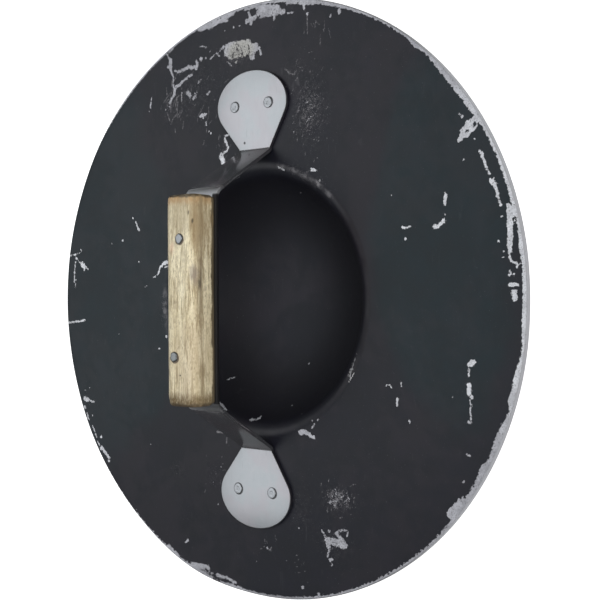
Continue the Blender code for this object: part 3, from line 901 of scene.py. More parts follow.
grip_middle = Vector((grip_low.x + grip_high.x, grip_low.y + grip_high.y, STRAP_TOP + GRIP_CROWN)) / 2
grip_size = Vector((grip_high.x - grip_low.x, GRIP_LENGTH, GRIP_CROWN - STRAP_TOP))
grip = start_piece("wooden_grip_visual", bpy.ops.mesh.primitive_cube_add, size=1, location=grip_middle)
grip.scale = grip_size
bpy.ops.object.transform_apply(location=True, rotation=True, scale=True)
round_edges(grip, long_upper_edge, GRIP_SIDE_ROUNDING, 10)
bpy.ops.object.mode_set(mode="OBJECT")
round_edges(grip, end_edge, GRIP_END_ROUNDING, 5)

straight_length = GRIP_LENGTH - 2 * GRIP_END_ROUNDING
flat_width = grip_size.x - 2 * GRIP_SIDE_ROUNDING
along = [grip_low.y + GRIP_END_ROUNDING + straight_length * cut / GRIP_CUTS for cut in range(1, GRIP_CUTS)]
across = [grip_middle.x + flat_width * (cut / CROWN_CUTS - 0.5) for cut in range(1, CROWN_CUTS)]
cuts = [((0, place, 0), (0, 1, 0)) for place in along] + [((place, 0, 0), (1, 0, 0)) for place in across]
for place, direction in cuts:
    bpy.ops.mesh.select_all(action="SELECT")
    bpy.ops.mesh.bisect(plane_co=place, plane_no=direction)
close_up()


# %% Round the grip's corners as seen from above, and let the rasp leave its waves
def round_corner(x, y, radius):
    """Takes a point from a square corner onto a round one. x and y count inwards from the two sides."""
    if x >= radius or y >= radius:
        return x, y
    out_x, out_y = radius - x, radius - y
    share = max(out_x, out_y) / max(math.hypot(out_x, out_y), TINY)
    return radius - out_x * share, radius - out_y * share


places = rows_of(grip.data.vertices, "co")
half_width, half_length = grip_size.x / 2, GRIP_LENGTH / 2
for row in places:
    side = math.copysign(1, row[0] - grip_middle.x)
    end = math.copysign(1, row[1] - grip_middle.y)
    inwards_x = half_width - abs(row[0] - grip_middle.x)
    inwards_y = half_length - abs(row[1] - grip_middle.y)
    radius = CORNER_ROUNDING["bottom" if end < 0 else "top", "left" if side < 0 else "right"]
    inwards_x, inwards_y = round_corner(inwards_x, inwards_y, radius)
    wave = noise.noise(Vector((side * 3, row[1] * 70, row[2] * 60))) + 0.5 * noise.noise(row * 240)
    inwards_x += RASP_WAVE * (1 + wave)
    row[0] = grip_middle.x + side * (half_width - inwards_x) + GRIP_SHIFT
    row[1] = grip_middle.y + end * (half_length - inwards_y)
    if end < 0:
        row[1] *= 1 + LOWER_END_LONGER / half_length
    if row[2] > STRAP_TOP + MM:
        row[2] += RASP_WAVE * (noise.noise(Vector((row[0] * 90, row[1] * 45, 8))) - 0.6)
write_places(grip, places)
smooth(grip, 40)
print("the grip is now", round((places[:, 0].max() - places[:, 0].min()) / MM, 2), "mm wide")

# %% [markdown]
# ## The rivets
#
# The paddle rivets have a low round head on the shield's front. Behind, their tail is hammered into a
# countersunk hole, so that only a thin ring shows in the strap. The grip rivets are thin ones, with an
# uneven hammered disc on the wood and a small tail under the strap.
#
# Each kind is turned once from a half section round its own axis. Its copies get their own mesh, and
# each is hammered a little differently.

# %% Helpers for the rivets
RIVET_STEPS = 32


def dome_line(radius, height, seat, steps=8):
    """A low round head as (radius, height), from its seat in to its crown. A negative height hangs."""
    turns = [math.pi / 2 * step / steps for step in range(steps, -1, -1)]
    return [(radius * math.sin(turn), seat + height * math.cos(turn)) for turn in turns]


def middle_mm(node):
    """Middle of a solid in millimetres, as seen from above."""
    low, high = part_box(node)
    return (low.x + high.x) / 2 / MM, (low.y + high.y) / 2 / MM


def hammer(rivet, seed, amount):
    """Makes the round outline of a rivet uneven, as hammering does."""
    places = rows_of(rivet.data.vertices, "co")
    for row in places:
        angle = math.atan2(row[1], row[0])
        wave = noise.noise(Vector((math.cos(angle) * 1.6, math.sin(angle) * 1.6, seed)))
        row[:2] *= 1 - amount * (0.5 + wave)
    write_places(rivet, places)


def set_rivets(line, radius, nodes, amount, seed, seed_step):
    """Turns a rivet, then hammers a copy for each node and sets it where its solid is."""
    model = turn_piece("rivet_model", line, RIVET_STEPS)
    places = rows_of(model.data.vertices, "co")
    store_values(model, "reach", np.hypot(places[:, 0], places[:, 1]) / radius)
    rivets = []
    for number, node in enumerate(nodes):
        rivet = bpy.data.objects.new(node + "_visual", model.data.copy())
        bpy.context.scene.collection.objects.link(rivet)
        hammer(rivet, seed + number * seed_step, amount)
        x, y = middle_mm(node)
        rivet.data.transform(Matrix.Translation((x * MM, y * MM, 0)))
        smooth(rivet, 50)
        rivets.append(rivet)
    bpy.data.objects.remove(model)
    return rivets


# %% Rivets of the paddles
shank = 2.0 * MM
node_low, node_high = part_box("paddle_rivet_top_left")
head_radius = (node_high.x - node_low.x) / 2
head_height = FRONT_FACE - 0.3 * MM - node_low.z
tail_radius = 2.9 * MM
tail_line = [
    # share of the radius, height over the paddle in millimetres
    (0.0, 0.36), (0.12, 0.35), (0.22, 0.27), (0.30, 0.27), (0.40, 0.38), (0.60, 0.38), (0.80, 0.34),
    (0.90, 0.28), (0.97, 0.16), (1.0, 0.0),
]
paddle_line = [(share * tail_radius, PADDLE_TOP + height * MM) for share, height in tail_line]
paddle_line += [(shank, PADDLE_TOP - 0.2 * MM), (shank, FRONT_FACE)]
paddle_line += dome_line(head_radius, -head_height, FRONT_FACE)
corners = ("top_left", "top_right", "bottom_left", "bottom_right")
paddle_nodes = ["paddle_rivet_" + corner for corner in corners]
rivets = set_rivets(paddle_line, tail_radius, paddle_nodes, 0.05, 0.0, 3.7)

# %% Rivets of the grip
thin_shank = 1.7 * MM
node_low, node_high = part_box("grip_rivet_top")
disc_radius = (node_high.x - node_low.x) / 2
strap_underside = STRAP_TOP - STRAP_THICKNESS
disc_line = [(0.0, 0.50), (0.35, 0.52), (0.70, 0.46), (0.88, 0.32), (0.97, 0.14), (1.0, -0.1)]
grip_line = [(share * disc_radius, GRIP_CROWN + height * MM) for share, height in disc_line]
grip_line += [(thin_shank, GRIP_CROWN - 0.3 * MM), (thin_shank, strap_underside)]
grip_line += dome_line(disc_radius, -0.8 * MM, strap_underside)
grip_nodes = ["grip_rivet_top", "grip_rivet_bottom"]
rivets += set_rivets(grip_line, disc_radius, grip_nodes, 0.16, 20.0, 5.3)
print("rivets:", len(rivets))

# %% [markdown]
# ## Nodes for the finishes
#
# Each finish below is a tree of nodes in one material. A few short helpers keep the trees readable: they
# add a node to the tree that its inputs come from, and give back its output. That output is wrapped, so
# that plain arithmetic works on it: a plus sign between two values adds a Math node set to Add. All
# patterns are laid out in Object coordinates. These are metres here, so a noise scale of 1000 gives
# features about 1 mm wide.

# %% Helpers for nodes: values, and the node that adds them
class Value:
    """What a node gives. A plain sign between values adds the Math node for it."""

    def __init__(self, socket):
        self.socket = socket

    def __add__(self, other):
        return maths("ADD", self, other)

    def __sub__(self, other):
        return maths("SUBTRACT", self, other)

    def __rsub__(self, other):
        return maths("SUBTRACT", other, self)

    def __mul__(self, other):
        return maths("MULTIPLY", self, other)

    def __abs__(self):
        return maths("ABSOLUTE", self)


def add_node(kind, inputs, gives=0, tree=None, **settings):
    """Adds a node to the tree of its inputs, fills and links them, and gives one of its outputs."""
    tree = tree or next(value.socket.id_data for value in inputs.values() if isinstance(value, Value))
    node = tree.nodes.new(kind)
    for setting, value in settings.items():
        setattr(node, setting, value)
    for name, value in inputs.items():
        if isinstance(value, Value):
            tree.links.new(value.socket, node.inputs[name])
        else:
            node.inputs[name].default_value = value
    return Value(node.outputs[gives])


def maths(operation, one, other=0.0):
    return add_node("ShaderNodeMath", {0: one, 1: other}, operation=operation)


def vector_maths(operation, one, other=(0.0, 0.0, 0.0), gives=0):
    return add_node("ShaderNodeVectorMath", {0: one, 1: other}, gives, operation=operation)


def largest(*values):
    """The largest of some values."""
    most = values[0]
    for value in values[1:]:
        most = maths("MAXIMUM", most, value)
    return most


def fade(value, low, high, to_low=0.0, to_high=1.0):
    """Takes a value smoothly from to_low, at low, to to_high, at high."""
    limits = {"Value": value, "From Min": low, "From Max": high, "To Min": to_low, "To Max": to_high}
    return add_node("ShaderNodeMapRange", limits, interpolation_type="SMOOTHSTEP")


def blend(share, one, other, kind="MIX"):
    """Mixes two colours by a share."""
    one, other = (colour if isinstance(colour, Value) else (*colour, 1.0) for colour in (one, other))
    return add_node("ShaderNodeMix", {0: share, 6: one, 7: other}, 2, data_type="RGBA", blend_type=kind)


# %% Helpers for nodes: patterns on a piece
def parts_of(place):
    """The x, y and z of a place."""
    x = add_node("ShaderNodeSeparateXYZ", {0: place})
    return [Value(socket) for socket in x.socket.node.outputs]


def stored(place, name):
    """A number that was kept on the mesh by name."""
    return add_node("ShaderNodeAttribute", {}, "Fac", place.socket.id_data, attribute_name=name)


def cloud(place, scale, detail=2.0, roughness=0.5):
    """Noise from 0 to 1, mostly near a half."""
    inputs = {"Vector": place, "Scale": scale, "Detail": detail, "Roughness": roughness}
    return add_node("ShaderNodeTexNoise", inputs, "Fac")


def stretch(place, scale, turn=(0.0, 0.0, 0.0), move=(0.0, 0.0, 0.0)):
    """Scales, turns and moves a pattern on its piece."""
    inputs = {"Vector": place, "Scale": scale, "Rotation": turn, "Location": move}
    return add_node("ShaderNodeMapping", inputs)


def grain(place, scales, detail, roughness=0.5):
    """Noise with its own scale in each direction."""
    return cloud(stretch(place, scales), 1.0, detail, roughness)


def cells(place, scale):
    """A random number for each cell of a pattern, and the distance from the cell's middle."""
    away = add_node("ShaderNodeTexVoronoi", {"Vector": place, "Scale": scale}, "Distance")
    colour = Value(away.socket.node.outputs["Color"])
    return add_node("ShaderNodeSeparateColor", {0: colour}, "Red"), away


def spot(place, middle, size, wobble, inner=0.55, outer=1.1):
    """A soft spot round a middle, both in millimetres: 1 inside, 0 outside. wobble makes it uneven."""
    away = vector_maths("SUBTRACT", place, [value * MM for value in middle])
    shares = vector_maths("DIVIDE", away, [value * MM for value in size])
    return fade(vector_maths("LENGTH", shares, gives="Value") + wobble, inner, outer, 1.0, 0.0)


# %% Helpers for nodes: finishes and groups
def new_finish(name, *pieces):
    """A new material on some pieces: its main shader and its Object coordinates."""
    material = bpy.data.materials.new(name)
    material.use_nodes = True
    for piece in pieces:
        piece.data.materials.append(material)
    tree = material.node_tree
    return tree.nodes["Principled BSDF"], add_node("ShaderNodeTexCoord", {}, "Object", tree)


def feed(shader, **inputs):
    """Links or sets inputs of the main shader. An underscore stands for a space."""
    for name, value in inputs.items():
        socket = shader.inputs[name.replace("_", " ")]
        if isinstance(value, Value):
            shader.id_data.links.new(value.socket, socket)
        else:
            socket.default_value = value


def bump(relief, strength, depth):
    """Lets the light play on a relief that is as deep as depth."""
    return add_node("ShaderNodeBump", {"Strength": strength, "Distance": depth, "Height": relief})


def new_group(name, numbers, output):
    """A node group with its inputs: a place and some numbers. close_group gives it its output."""
    group = bpy.data.node_groups.new(name, "ShaderNodeTree")
    group.interface.new_socket(name="Place", in_out="INPUT", socket_type="NodeSocketVector")
    for number, value in numbers.items():
        socket = group.interface.new_socket(name=number, in_out="INPUT", socket_type="NodeSocketFloat")
        socket.default_value = value
    group.interface.new_socket(name=output, in_out="OUTPUT", socket_type="NodeSocketFloat")
    return group, {socket.name: Value(socket) for socket in group.nodes.new("NodeGroupInput").outputs}


def close_group(group, value):
    group.links.new(value.socket, group.nodes.new("NodeGroupOutput").inputs[0])
    print("group:", group.name)


def use_group(group, place, **numbers):
    """Places a group in the tree that a place comes from, with its own numbers."""
    return add_node("ShaderNodeGroup", {"Place": place, **numbers}, node_tree=group)


# %% [markdown]
# ## Two effects that several finishes share
#
# Fine scratches lie on paint and steel alike, and every old surface is mottled: a little darker or
# duller in soft spots. Each of the two is a node group, built once and placed in each material with
# its own values.

# %% Group: fine scratches
scratches, given = new_group("fine scratches", {"Scale": 60.0, "Share": 0.06, "Width": 0.012}, "Scratch")
found = []
for number, (turn, squeeze) in enumerate(((0.3, 0.05), (1.25, 0.04), (2.2, 0.06))):
    lines = stretch(given["Place"], (1.0, squeeze, 1.0), (0.0, 0.0, turn), (number * 0.7, 0.2, 0.1))
    from_line = abs(cloud(lines, given["Scale"], 1.0) - 0.5)
    spots = cloud(stretch(given["Place"], (1, 1, 1), move=(number * 1.3, 0.4, 0.9)), 90.0)
    rare = fade(spots, 0.66 - given["Share"], 0.70)
    found.append(fade(from_line, 0.0, given["Width"], 1.0, 0.0) * rare)
close_group(scratches, largest(*found))

# %% Group: mottling
mottling, given = new_group("mottling", {"Scale": 40.0, "Contrast": 1.0}, "Mottle")
broad = cloud(given["Place"], given["Scale"], 3.0, 0.6)
fine = cloud(given["Place"], given["Scale"] * 7.0, 3.0, 0.6)
both = (fine - 0.5) * 0.5 + broad
spread = (both - 0.5) * (given["Contrast"] * 2.0) + 0.5
close_group(mottling, fade(spread, 0.0, 1.0))

# %% [markdown]
# ## Worn black paint on steel
#
# The sheet is painted satin black. Where the paint has chipped off, bright steel shows, and the edge of
# each chip is a small step. One material holds both finishes. A mask picks between them: the stored
# distance from bare steel, made ragged by two sizes of noise. Scuffed places break up into speckles,
# and a few pinhead chips are scattered everywhere, as on any used shield.

# %% Worn paint: where the steel is bare
shader, place = new_finish("worn black paint", plate)
x, y, z = parts_of(place)
scuffing = stored(place, "scuff")
ragged = cloud(place, 700.0, 4.0, 0.65) - 0.5
crumbs = cloud(place, 2300.0) - 0.5
flakes, from_flake = cells(place, 950.0)
edge = stored(place, "bare_mm") + 0.05 + ragged * 2.2 + crumbs * (scuffing * 3.0 + 0.7)
chipped = fade(edge + (flakes - 0.5) * 0.5, -0.06, 0.06, 1.0, 0.0)

seldom, from_pin = cells(place, 75.0)
pinhole = maths("LESS_THAN", from_pin, fade(seldom, 0.72, 1.0) * 0.035)
rested_on = fade(z, 0.2 * MM, 2.4 * MM, 0.20, -0.20)
worn_crown = fade(cloud(place, 420.0, 5.0, 0.7) + rested_on, 0.60, 0.63)
streaks = grain(place, (1700.0, 800.0, 1700.0), 3.0, 0.6)
left_over = fade(scuffing * 0.13 + streaks, 0.66, 0.71)
bare_steel = largest(chipped, pinhole, worn_crown) * (1.0 - left_over)

# %% Worn paint: the black, with its tints, dust and scratches, painted shade in the hollow and a partly painted highlight on the ridge
RIDGE_RADIUS = MOUTH_RADIUS - 2.8 * MM
from_axis = vector_maths("LENGTH", add_node("ShaderNodeCombineXYZ", {"X": x, "Y": y}), gives="Value")
# A light ring along the crest of the mouth: partly wear, partly painted highlight.
ridge_wear_and_highlight = fade(abs(from_axis - RIDGE_RADIUS), 0.2 * MM, 2.4 * MM, 1.0, 0.0)
ridge_wear_and_highlight = ridge_wear_and_highlight * fade(cloud(place, 45.0, 3.0), 0.30, 0.62, 0.25, 1.0) * maths("GREATER_THAN", z, FRONT_FACE)
hollow = fade(z, BACK_FACE - 7 * MM, BACK_FACE - MM, 1.0, 0.0)

mottle = use_group(mottling, place, Scale=22.0, Contrast=2.0)
clotted = use_group(mottling, place, Scale=60.0, Contrast=1.4)
patchy = (cloud(place, 16.0, 3.0) - 0.5) * 1.2
bluish_left = spot(place, (-125, 10, 32), (75, 110, 60), patchy, 0.8, 1.05)
bluish_right = spot(place, (110, 22, 32), (42, 95, 60), patchy, 0.8, 1.05)
bluish = mottle * 0.25 + largest(bluish_left, bluish_right) * 0.75
black = blend(bluish, (0.0068, 0.0050, 0.0105), (0.0018, 0.0090, 0.0135))
black = blend(clotted * 0.35, black, (0.0030, 0.0035, 0.0050))
# Painted shade: the walls of the hollow are made darker, less so towards the left.
painted_hollow_shade = fade(from_axis, 20 * MM, 45 * MM, 0.0, 0.75) * hollow
painted_hollow_shade = painted_hollow_shade * fade(x, -50 * MM, -22 * MM, 0.15, 1.0)
black = blend(painted_hollow_shade, black, (0.0014, 0.0009, 0.0032))

speckle = fade(scuffing * 0.17 + cloud(place, 1900.0, 3.0, 0.6), 0.68, 0.80, 0.0, 0.50)
haze = scuffing * fade(cloud(place, 420.0, 4.0, 0.6), 0.40, 0.75, 0.0, 0.10)
scratch = use_group(scratches, place, Scale=70.0, Share=0.05, Width=0.010) * (scuffing * 0.25 + 0.02)
dusty = ridge_wear_and_highlight * fade(cloud(place, 330.0, 4.0, 0.6), 0.36, 0.62, 0.05, 0.80) * scuffing
hairline = fade(crumbs * 1.1 + stored(place, "fine_mm"), -0.10, 0.22, 0.60, 0.0)
hairline = hairline * fade(ragged, -0.10, 0.12, 0.35, 1.0)
# The crest ring is lightened here: a painted highlight, together with the wear.
rubbed = largest(speckle, haze, scratch, ridge_wear_and_highlight * 0.07, dusty, hairline)
black = blend(rubbed, black, (0.34, 0.33, 0.35))

# %% Worn paint: the steel, darker towards the top and the bottom, and the sheared edge, with painted shade towards its top and bottom
steel_tone = use_group(mottling, place, Scale=200.0, Contrast=1.8)
bright = blend(steel_tone, (0.74, 0.73, 0.75), (0.96, 0.95, 0.97))
yellowed = spot(place, (-12, 127, BACK_FACE / MM), (11, 7, 9), patchy)
bright = blend(yellowed * 0.7, bright, (1.0, 0.97, 0.83))
specks = scuffing * 0.10 + cloud(place, 1700.0, 4.0, 0.65)
bright = blend(fade(specks, 0.54, 0.66, 0.0, 0.70), bright, (0.26, 0.24, 0.23))
sheared = fade(stored(place, "over_edge_mm"), 0.0, 0.30)
# The bare steel is darker towards the top and the bottom, less so at the far left.
darker_up_and_down = largest(fade(y, 50 * MM, 118 * MM, 0.08, 0.90), fade(y, -72 * MM, -30 * MM, 0.92, 0.08))
darker_up_and_down = darker_up_and_down * fade(x, -125 * MM, -75 * MM, 0.30, 1.0) * (1.0 - sheared)
bright = blend(darker_up_and_down, bright, (0.60, 0.59, 0.61), "MULTIPLY")
# Painted shade: the sheared edge goes darker towards the top and the bottom.
painted_rim_shade = fade(abs(y), 95 * MM, 130 * MM, 0.82, 0.52)
bright = blend(sheared, bright, blend(painted_rim_shade, (0.0, 0.0, 0.0), (0.57, 0.58, 0.62)))

# %% Worn paint: gloss, relief and the shader
satin = fade(mottle, 0.0, 1.0, 0.35, 0.41) + scuffing * 0.10 + hollow * 0.14
satin = satin + fade(y, -130 * MM, -20 * MM, 0.12, 0.0)
rough = add_node("ShaderNodeMix", {0: bare_steel, 2: satin, 3: sheared * 0.20 + 0.35})
film = 1.0 - bare_steel + cloud(place, 260.0, 3.0) * 0.25 + cloud(place, 1500.0) * 0.06
feed(
    shader, Base_Color=blend(bare_steel, black, bright), Roughness=rough,
    Metallic=bare_steel * (1.0 - sheared * 0.55), Normal=bump(film, 0.6, 0.08 * MM),
)

# %% [markdown]
# ## Ground steel of the strap
#
# The strap is bare steel that was ground smooth and has gone a little dull with handling. It is
# quite glossy, so its legs mirror the black plate. Soft mottling, fine rubbing along the bar, a
# brownish tint in places and one dark pit on the upper paddle keep it from looking new.

# %% The strap's steel: its tone
shader, place = new_finish("ground strap steel", strap)
x, y, z = parts_of(place)
mottle = use_group(mottling, place, Scale=45.0, Contrast=1.0)
rubbing = cloud(stretch(place, (1.0, 0.06, 1.0)), 2400.0)
scratch = use_group(scratches, place, Scale=120.0, Share=0.05, Width=0.015)
tone = blend(mottle, (0.59, 0.61, 0.625), (0.66, 0.665, 0.68))
tone = blend(fade(cloud(place, 60.0, 3.0, 0.6), 0.42, 0.60), tone, (0.650, 0.628, 0.648))
rubbed_along = grain(place, (500.0, 90.0, 500.0), 3.0, 0.6)
tone = blend(fade(rubbed_along, 0.52, 0.75, 0.0, 0.10), tone, (0.45, 0.45, 0.46))
tone = blend(scratch * 0.45, tone, (0.42, 0.42, 0.43))

uneven_edge = cloud(place, 1000.0, 3.0) - 0.5
pit_and_rivet_shade = spot(place, (-6.5, 79.3, PADDLE_TOP / MM), (0.75, 0.75, 0.75), uneven_edge)
# A dark disc under each paddle rivet's tail, set off to the right so that a thin crescent shows beside it: a
# groove in the relief, and painted shade.
for node, shift, size in zip(paddle_nodes, (0.55, 0.6, 0.25, 0.5), (2.95, 2.95, 3.2, 3.05)):
    middle_x, middle_y = middle_mm(node)
    middle = (middle_x + shift, middle_y, PADDLE_TOP / MM)
    pit_and_rivet_shade = largest(pit_and_rivet_shade, spot(place, middle, (size, size, size), uneven_edge * 0.15, 0.93, 1.03))
tone = blend(pit_and_rivet_shade * 0.88, tone, (0.06, 0.06, 0.06))

# %% The strap's steel: painted shade beside the wood, a darker band below it, a painted highlight at the bends, gloss, relief and the shader
WOOD_END = GRIP_LENGTH / 2
from_middle = abs(y)
# Painted shade: a dark strip on the strap along the wood's right side.
painted_shade_beside_wood = fade(from_middle, WOOD_END, WOOD_END + 1.2 * MM, 0.95, 0.0) * fade(x, 7.5 * MM, 8.3 * MM)
# Darker on the strap just below the wood's lower end.
darker_below_wood = fade(y, -54 * MM, -50.5 * MM, 0.0, 0.75) * fade(y, -45 * MM, -40 * MM, 1.0, 0.0)
painted_bend_highlight = fade(from_middle, WOOD_END + 1.5 * MM, WOOD_END + 5.5 * MM, 1.0, 0.0)
on_paddle = fade(from_middle, FOOT_BEND_PLACE - MM, FOOT_BEND_PLACE + 2 * MM)
# Painted shade: the lower paddle is made a little darker.
tone = blend(fade(y, -75 * MM, -65 * MM, 0.10, 0.0), tone, (0.10, 0.09, 0.10))
# Painted highlight: the bends next to the wood's ends are made nearly white, and rougher too.
tone = blend(painted_bend_highlight * 0.8, tone, (0.93, 0.94, 0.96))
tone = blend(largest(painted_shade_beside_wood, darker_below_wood), tone, (0.035, 0.033, 0.035))
dull = on_paddle * 0.15 + fade(mottle, 0.0, 1.0, 0.12, 0.17) + painted_bend_highlight * 0.42 + rubbing * 0.04
relief = cloud(place, 90.0, 1.0) + rubbing * 0.02 - pit_and_rivet_shade * 1.5
feed(
    shader, Base_Color=tone, Metallic=on_paddle * 0.04 + 0.96, Roughness=dull,
    Normal=bump(relief, 0.3, 0.05 * MM),
)

# %% [markdown]
# ## Steel of the rivets
#
# The rivets are the same kind of steel, but hammered: small flats and dents all over, and grey dirt
# that has stayed in the dents.

# %% Build the rivets' steel
shader, place = new_finish("hammered rivet steel", *rivets)
x, y, z = parts_of(place)
dents = cloud(place, 600.0, 1.0)
fine_dents = cloud(place, 2400.0)
mottle = use_group(mottling, place, Scale=220.0, Contrast=1.4)
tone = blend(mottle, (0.54, 0.55, 0.57), (0.68, 0.69, 0.71))
tone = blend(fade(dents, 0.30, 0.44, 0.35, 0.0), tone, (0.22, 0.22, 0.22))
worn_reach = (fine_dents - 0.5) * 0.12 + stored(place, "reach")
tone = blend(fade(worn_reach, 0.84, 0.99, 0.0, 0.7), tone, (0.12, 0.12, 0.12))
in_wood = fade(abs(y), WOOD_END, WOOD_END + MM, 1.0, 0.0)
tone = blend(in_wood * fade(y, -20 * MM, 20 * MM, 0.55, 0.25), tone, (0.16, 0.17, 0.15))
feed(
    shader, Base_Color=tone, Metallic=1.0, Roughness=fade(mottle, 0.0, 1.0, 0.30, 0.42),
    Normal=bump(fine_dents * 0.25 + dents, 0.5, 0.10 * MM),
)

# %% [markdown]
# ## Wood of the grip
#
# The stick is light, dry wood with a straight grain along the hand. Hands have greyed it on the left. Its
# grain is darker towards the right and along its foot, both painted shade. The ends are brown where the end
# grain drinks dirt, with painted shadow at their very edge. Round both rivets the wood is crushed and dark.
#
# The grain is noise that is stretched a lot along the stick. Three sizes of it are layered: broad
# bands, thin dark lines and short pores.

# %% The wood: grain and stains
shader, place = new_finish("light grip wood", grip)
x, y, z = parts_of(place)
sway = grain(place, (20.0, 14.0, 20.0), 2.0)
fibre = vector_maths("ADD", place, add_node("ShaderNodeCombineXYZ", {"X": sway * (2.2 * MM)}))
bands = grain(fibre, (300.0, 22.0, 180.0), 4.0, 0.65)
lines = grain(fibre, (1000.0, 75.0, 750.0), 4.0, 0.65)
pores = grain(fibre, (2300.0, 420.0, 1900.0), 2.0)
blots = grain(place, (260.0, 130.0, 260.0), 4.0, 0.65)
stains = grain(place, (110.0, 45.0, 110.0), 3.0, 0.6)
fuzz = grain(place, (1500.0, 700.0, 1500.0), 3.0)

tone = blend(fade(bands, 0.32, 0.68), (0.88, 0.80, 0.58), (0.66, 0.57, 0.38))
for pattern, low, high, strength, colour in (
    (lines, 0.48, 0.60, 0.80, (0.40, 0.32, 0.19)),
    (lines, 0.60, 0.68, 0.70, (0.20, 0.15, 0.09)),
    (pores, 0.57, 0.68, 0.65, (0.24, 0.18, 0.12)),
    (fuzz, 0.45, 0.75, 0.45, (0.36, 0.30, 0.20)),
    (fuzz, 0.42, 0.25, 0.50, (0.93, 0.87, 0.66)),
    (blots, 0.54, 0.70, 0.55, (0.34, 0.27, 0.18)),
    (stains, 0.52, 0.70, 0.40, (0.44, 0.36, 0.24)),
):
    tone = blend(fade(pattern, low, high, 0.0, strength), tone, colour)

# %% The wood: dirt at its ends, painted shadow at their very edge and at its foot, and a darker right side with painted shade
uneven_edge = (blots - 0.5) * 1.6
from_top = uneven_edge * (2.0 * MM) + (half_length - y)
from_bottom = uneven_edge * (3.0 * MM) + y + (half_length + LOWER_END_LONGER)
above_strap = z - STRAP_TOP
speckled = fade(fuzz, 0.35, 0.65, 0.70, 1.0)
tone = blend(fade(from_top, 2.8 * MM, 6.5 * MM, 0.85, 0.0) * speckled, tone, (0.42, 0.24, 0.10))
tone = blend(fade(from_bottom, 3.2 * MM, 8.0 * MM, 1.0, 0.0) * speckled, tone, (0.12, 0.08, 0.035))
# Nearly black at the very ends: dark end grain, and painted shadow where the ends meet the strap.
tone = blend(fade(from_top, 1.0 * MM, 2.0 * MM, 1.0, 0.0), tone, (0.030, 0.020, 0.012))
tone = blend(fade(from_bottom, 0.8 * MM, 2.6 * MM, 0.90, 0.0), tone, (0.05, 0.035, 0.02))
# Painted shadow: a near-black band at the wood's foot, just above the strap.
foot_shadow_rise = uneven_edge * (2.4 * MM) + above_strap
tone = blend(fade(foot_shadow_rise, 1.0 * MM, 2.1 * MM, 0.97, 0.0), tone, (0.035, 0.03, 0.02))
side_streak = fade(abs(above_strap - 8.1 * MM), 0.3 * MM, 1.6 * MM, 1.0, 0.0)
side_streak = side_streak * fade(bands, 0.40, 0.60, 0.25, 1.0) * fade(x, 6.0 * MM, 8.0 * MM, 0.0, 0.85)
tone = blend(side_streak, tone, (0.24, 0.18, 0.10))
# Painted shade: the grain darkens towards the right side.
tone = blend(fade(x, 4.0 * MM, 9.5 * MM, 0.0, 0.42) * bands, tone, (0.36, 0.27, 0.15))

wood_spots = [
    # place and size in millimetres, strength, colour
    ((1.0, 39, 88.8), (12.0, 13, 12.0), 0.42, (0.36, 0.30, 0.20)),
    ((8.7, 34, 84.0), (3.5, 18, 9.0), 0.70, (0.26, 0.18, 0.09)),
    ((7.0, -22, 84.0), (6.0, 26, 8.0), 0.18, (0.44, 0.33, 0.21)),
    ((1.0, 4, 88.8), (3.5, 3.5, 3.0), 0.28, (0.88, 0.82, 0.62)),
    ((-9.6, 0, 85), (2.0, 48, 4.0), 0.04, (0.30, 0.25, 0.17)),
    ((3.0, -30, 88), (9.0, 22, 9.0), 0.20, (0.45, 0.35, 0.26)),
    ((9.3, 6, 84), (1.6, 26, 3.0), 0.50, (0.16, 0.12, 0.08)),
    ((9.3, 8, 83.5), (1.5, 5, 1.8), 0.85, (0.06, 0.05, 0.04)),
    ((7.8, 12, 86.5), (3.0, 6, 3.0), 0.55, (0.22, 0.18, 0.17)),
    ((5.5, 40.3, 88.8), (0.6, 1.8, 3.0), 0.85, (0.05, 0.04, 0.03)),
    ((7.2, 36.5, 88.0), (0.5, 1.5, 3.0), 0.80, (0.05, 0.04, 0.03)),
    ((0.0, -35.5, 88.8), (0.9, 0.7, 3.0), 0.90, (0.05, 0.04, 0.03)),
    ((-5.5, 24, 88.8), (2.4, 4, 4.0), 0.30, (0.70, 0.38, 0.28)),
    ((-8.5, -34, 86.0), (2.0, 4, 4.0), 0.50, (0.20, 0.16, 0.13)),
    ((-2.0, 26, 88.8), (2.0, 3, 3.0), 0.25, (0.30, 0.25, 0.17)),
    ((3.0, 20, 88.8), (3.0, 9, 3.0), 0.25, (0.40, 0.36, 0.26)),
]
for middle, size, strength, colour in wood_spots:
    tone = blend(spot(place, middle, size, uneven_edge, 0.3, 1.1) * strength, tone, colour)

# %% The wood: crushed round the rivets, gloss, relief and the shader
crushed = []
for node in grip_nodes:
    middle_x, middle_y = middle_mm(node)
    middle = (middle_x + 0.35, middle_y - 0.45, GRIP_CROWN / MM)
    crushed.append(spot(place, middle, (disc_radius / MM,) * 3, uneven_edge * 0.4, 0.96, 1.14))
crushed = largest(*crushed)
tone = blend(crushed * 0.85, tone, (0.08, 0.06, 0.05))
relief = lines * -1.2 + pores * -0.8 + blots * -0.5 + crushed * -1.2
feed(
    shader, Base_Color=tone, Metallic=0.0, Roughness=fade(bands, 0.3, 0.7, 0.55, 0.70),
    Normal=bump(relief, 0.7, 0.20 * MM),
)

# %% Hand the pieces over
hand_over(plate, "painted_steel", "plate_with_boss")
hand_over(strap, "bare_steel", "handle_strap")
hand_over(grip, "grip_wood", "wooden_grip")
for rivet in rivets:
    hand_over(rivet, "rivet_steel", rivet.name.replace("_visual", ""))

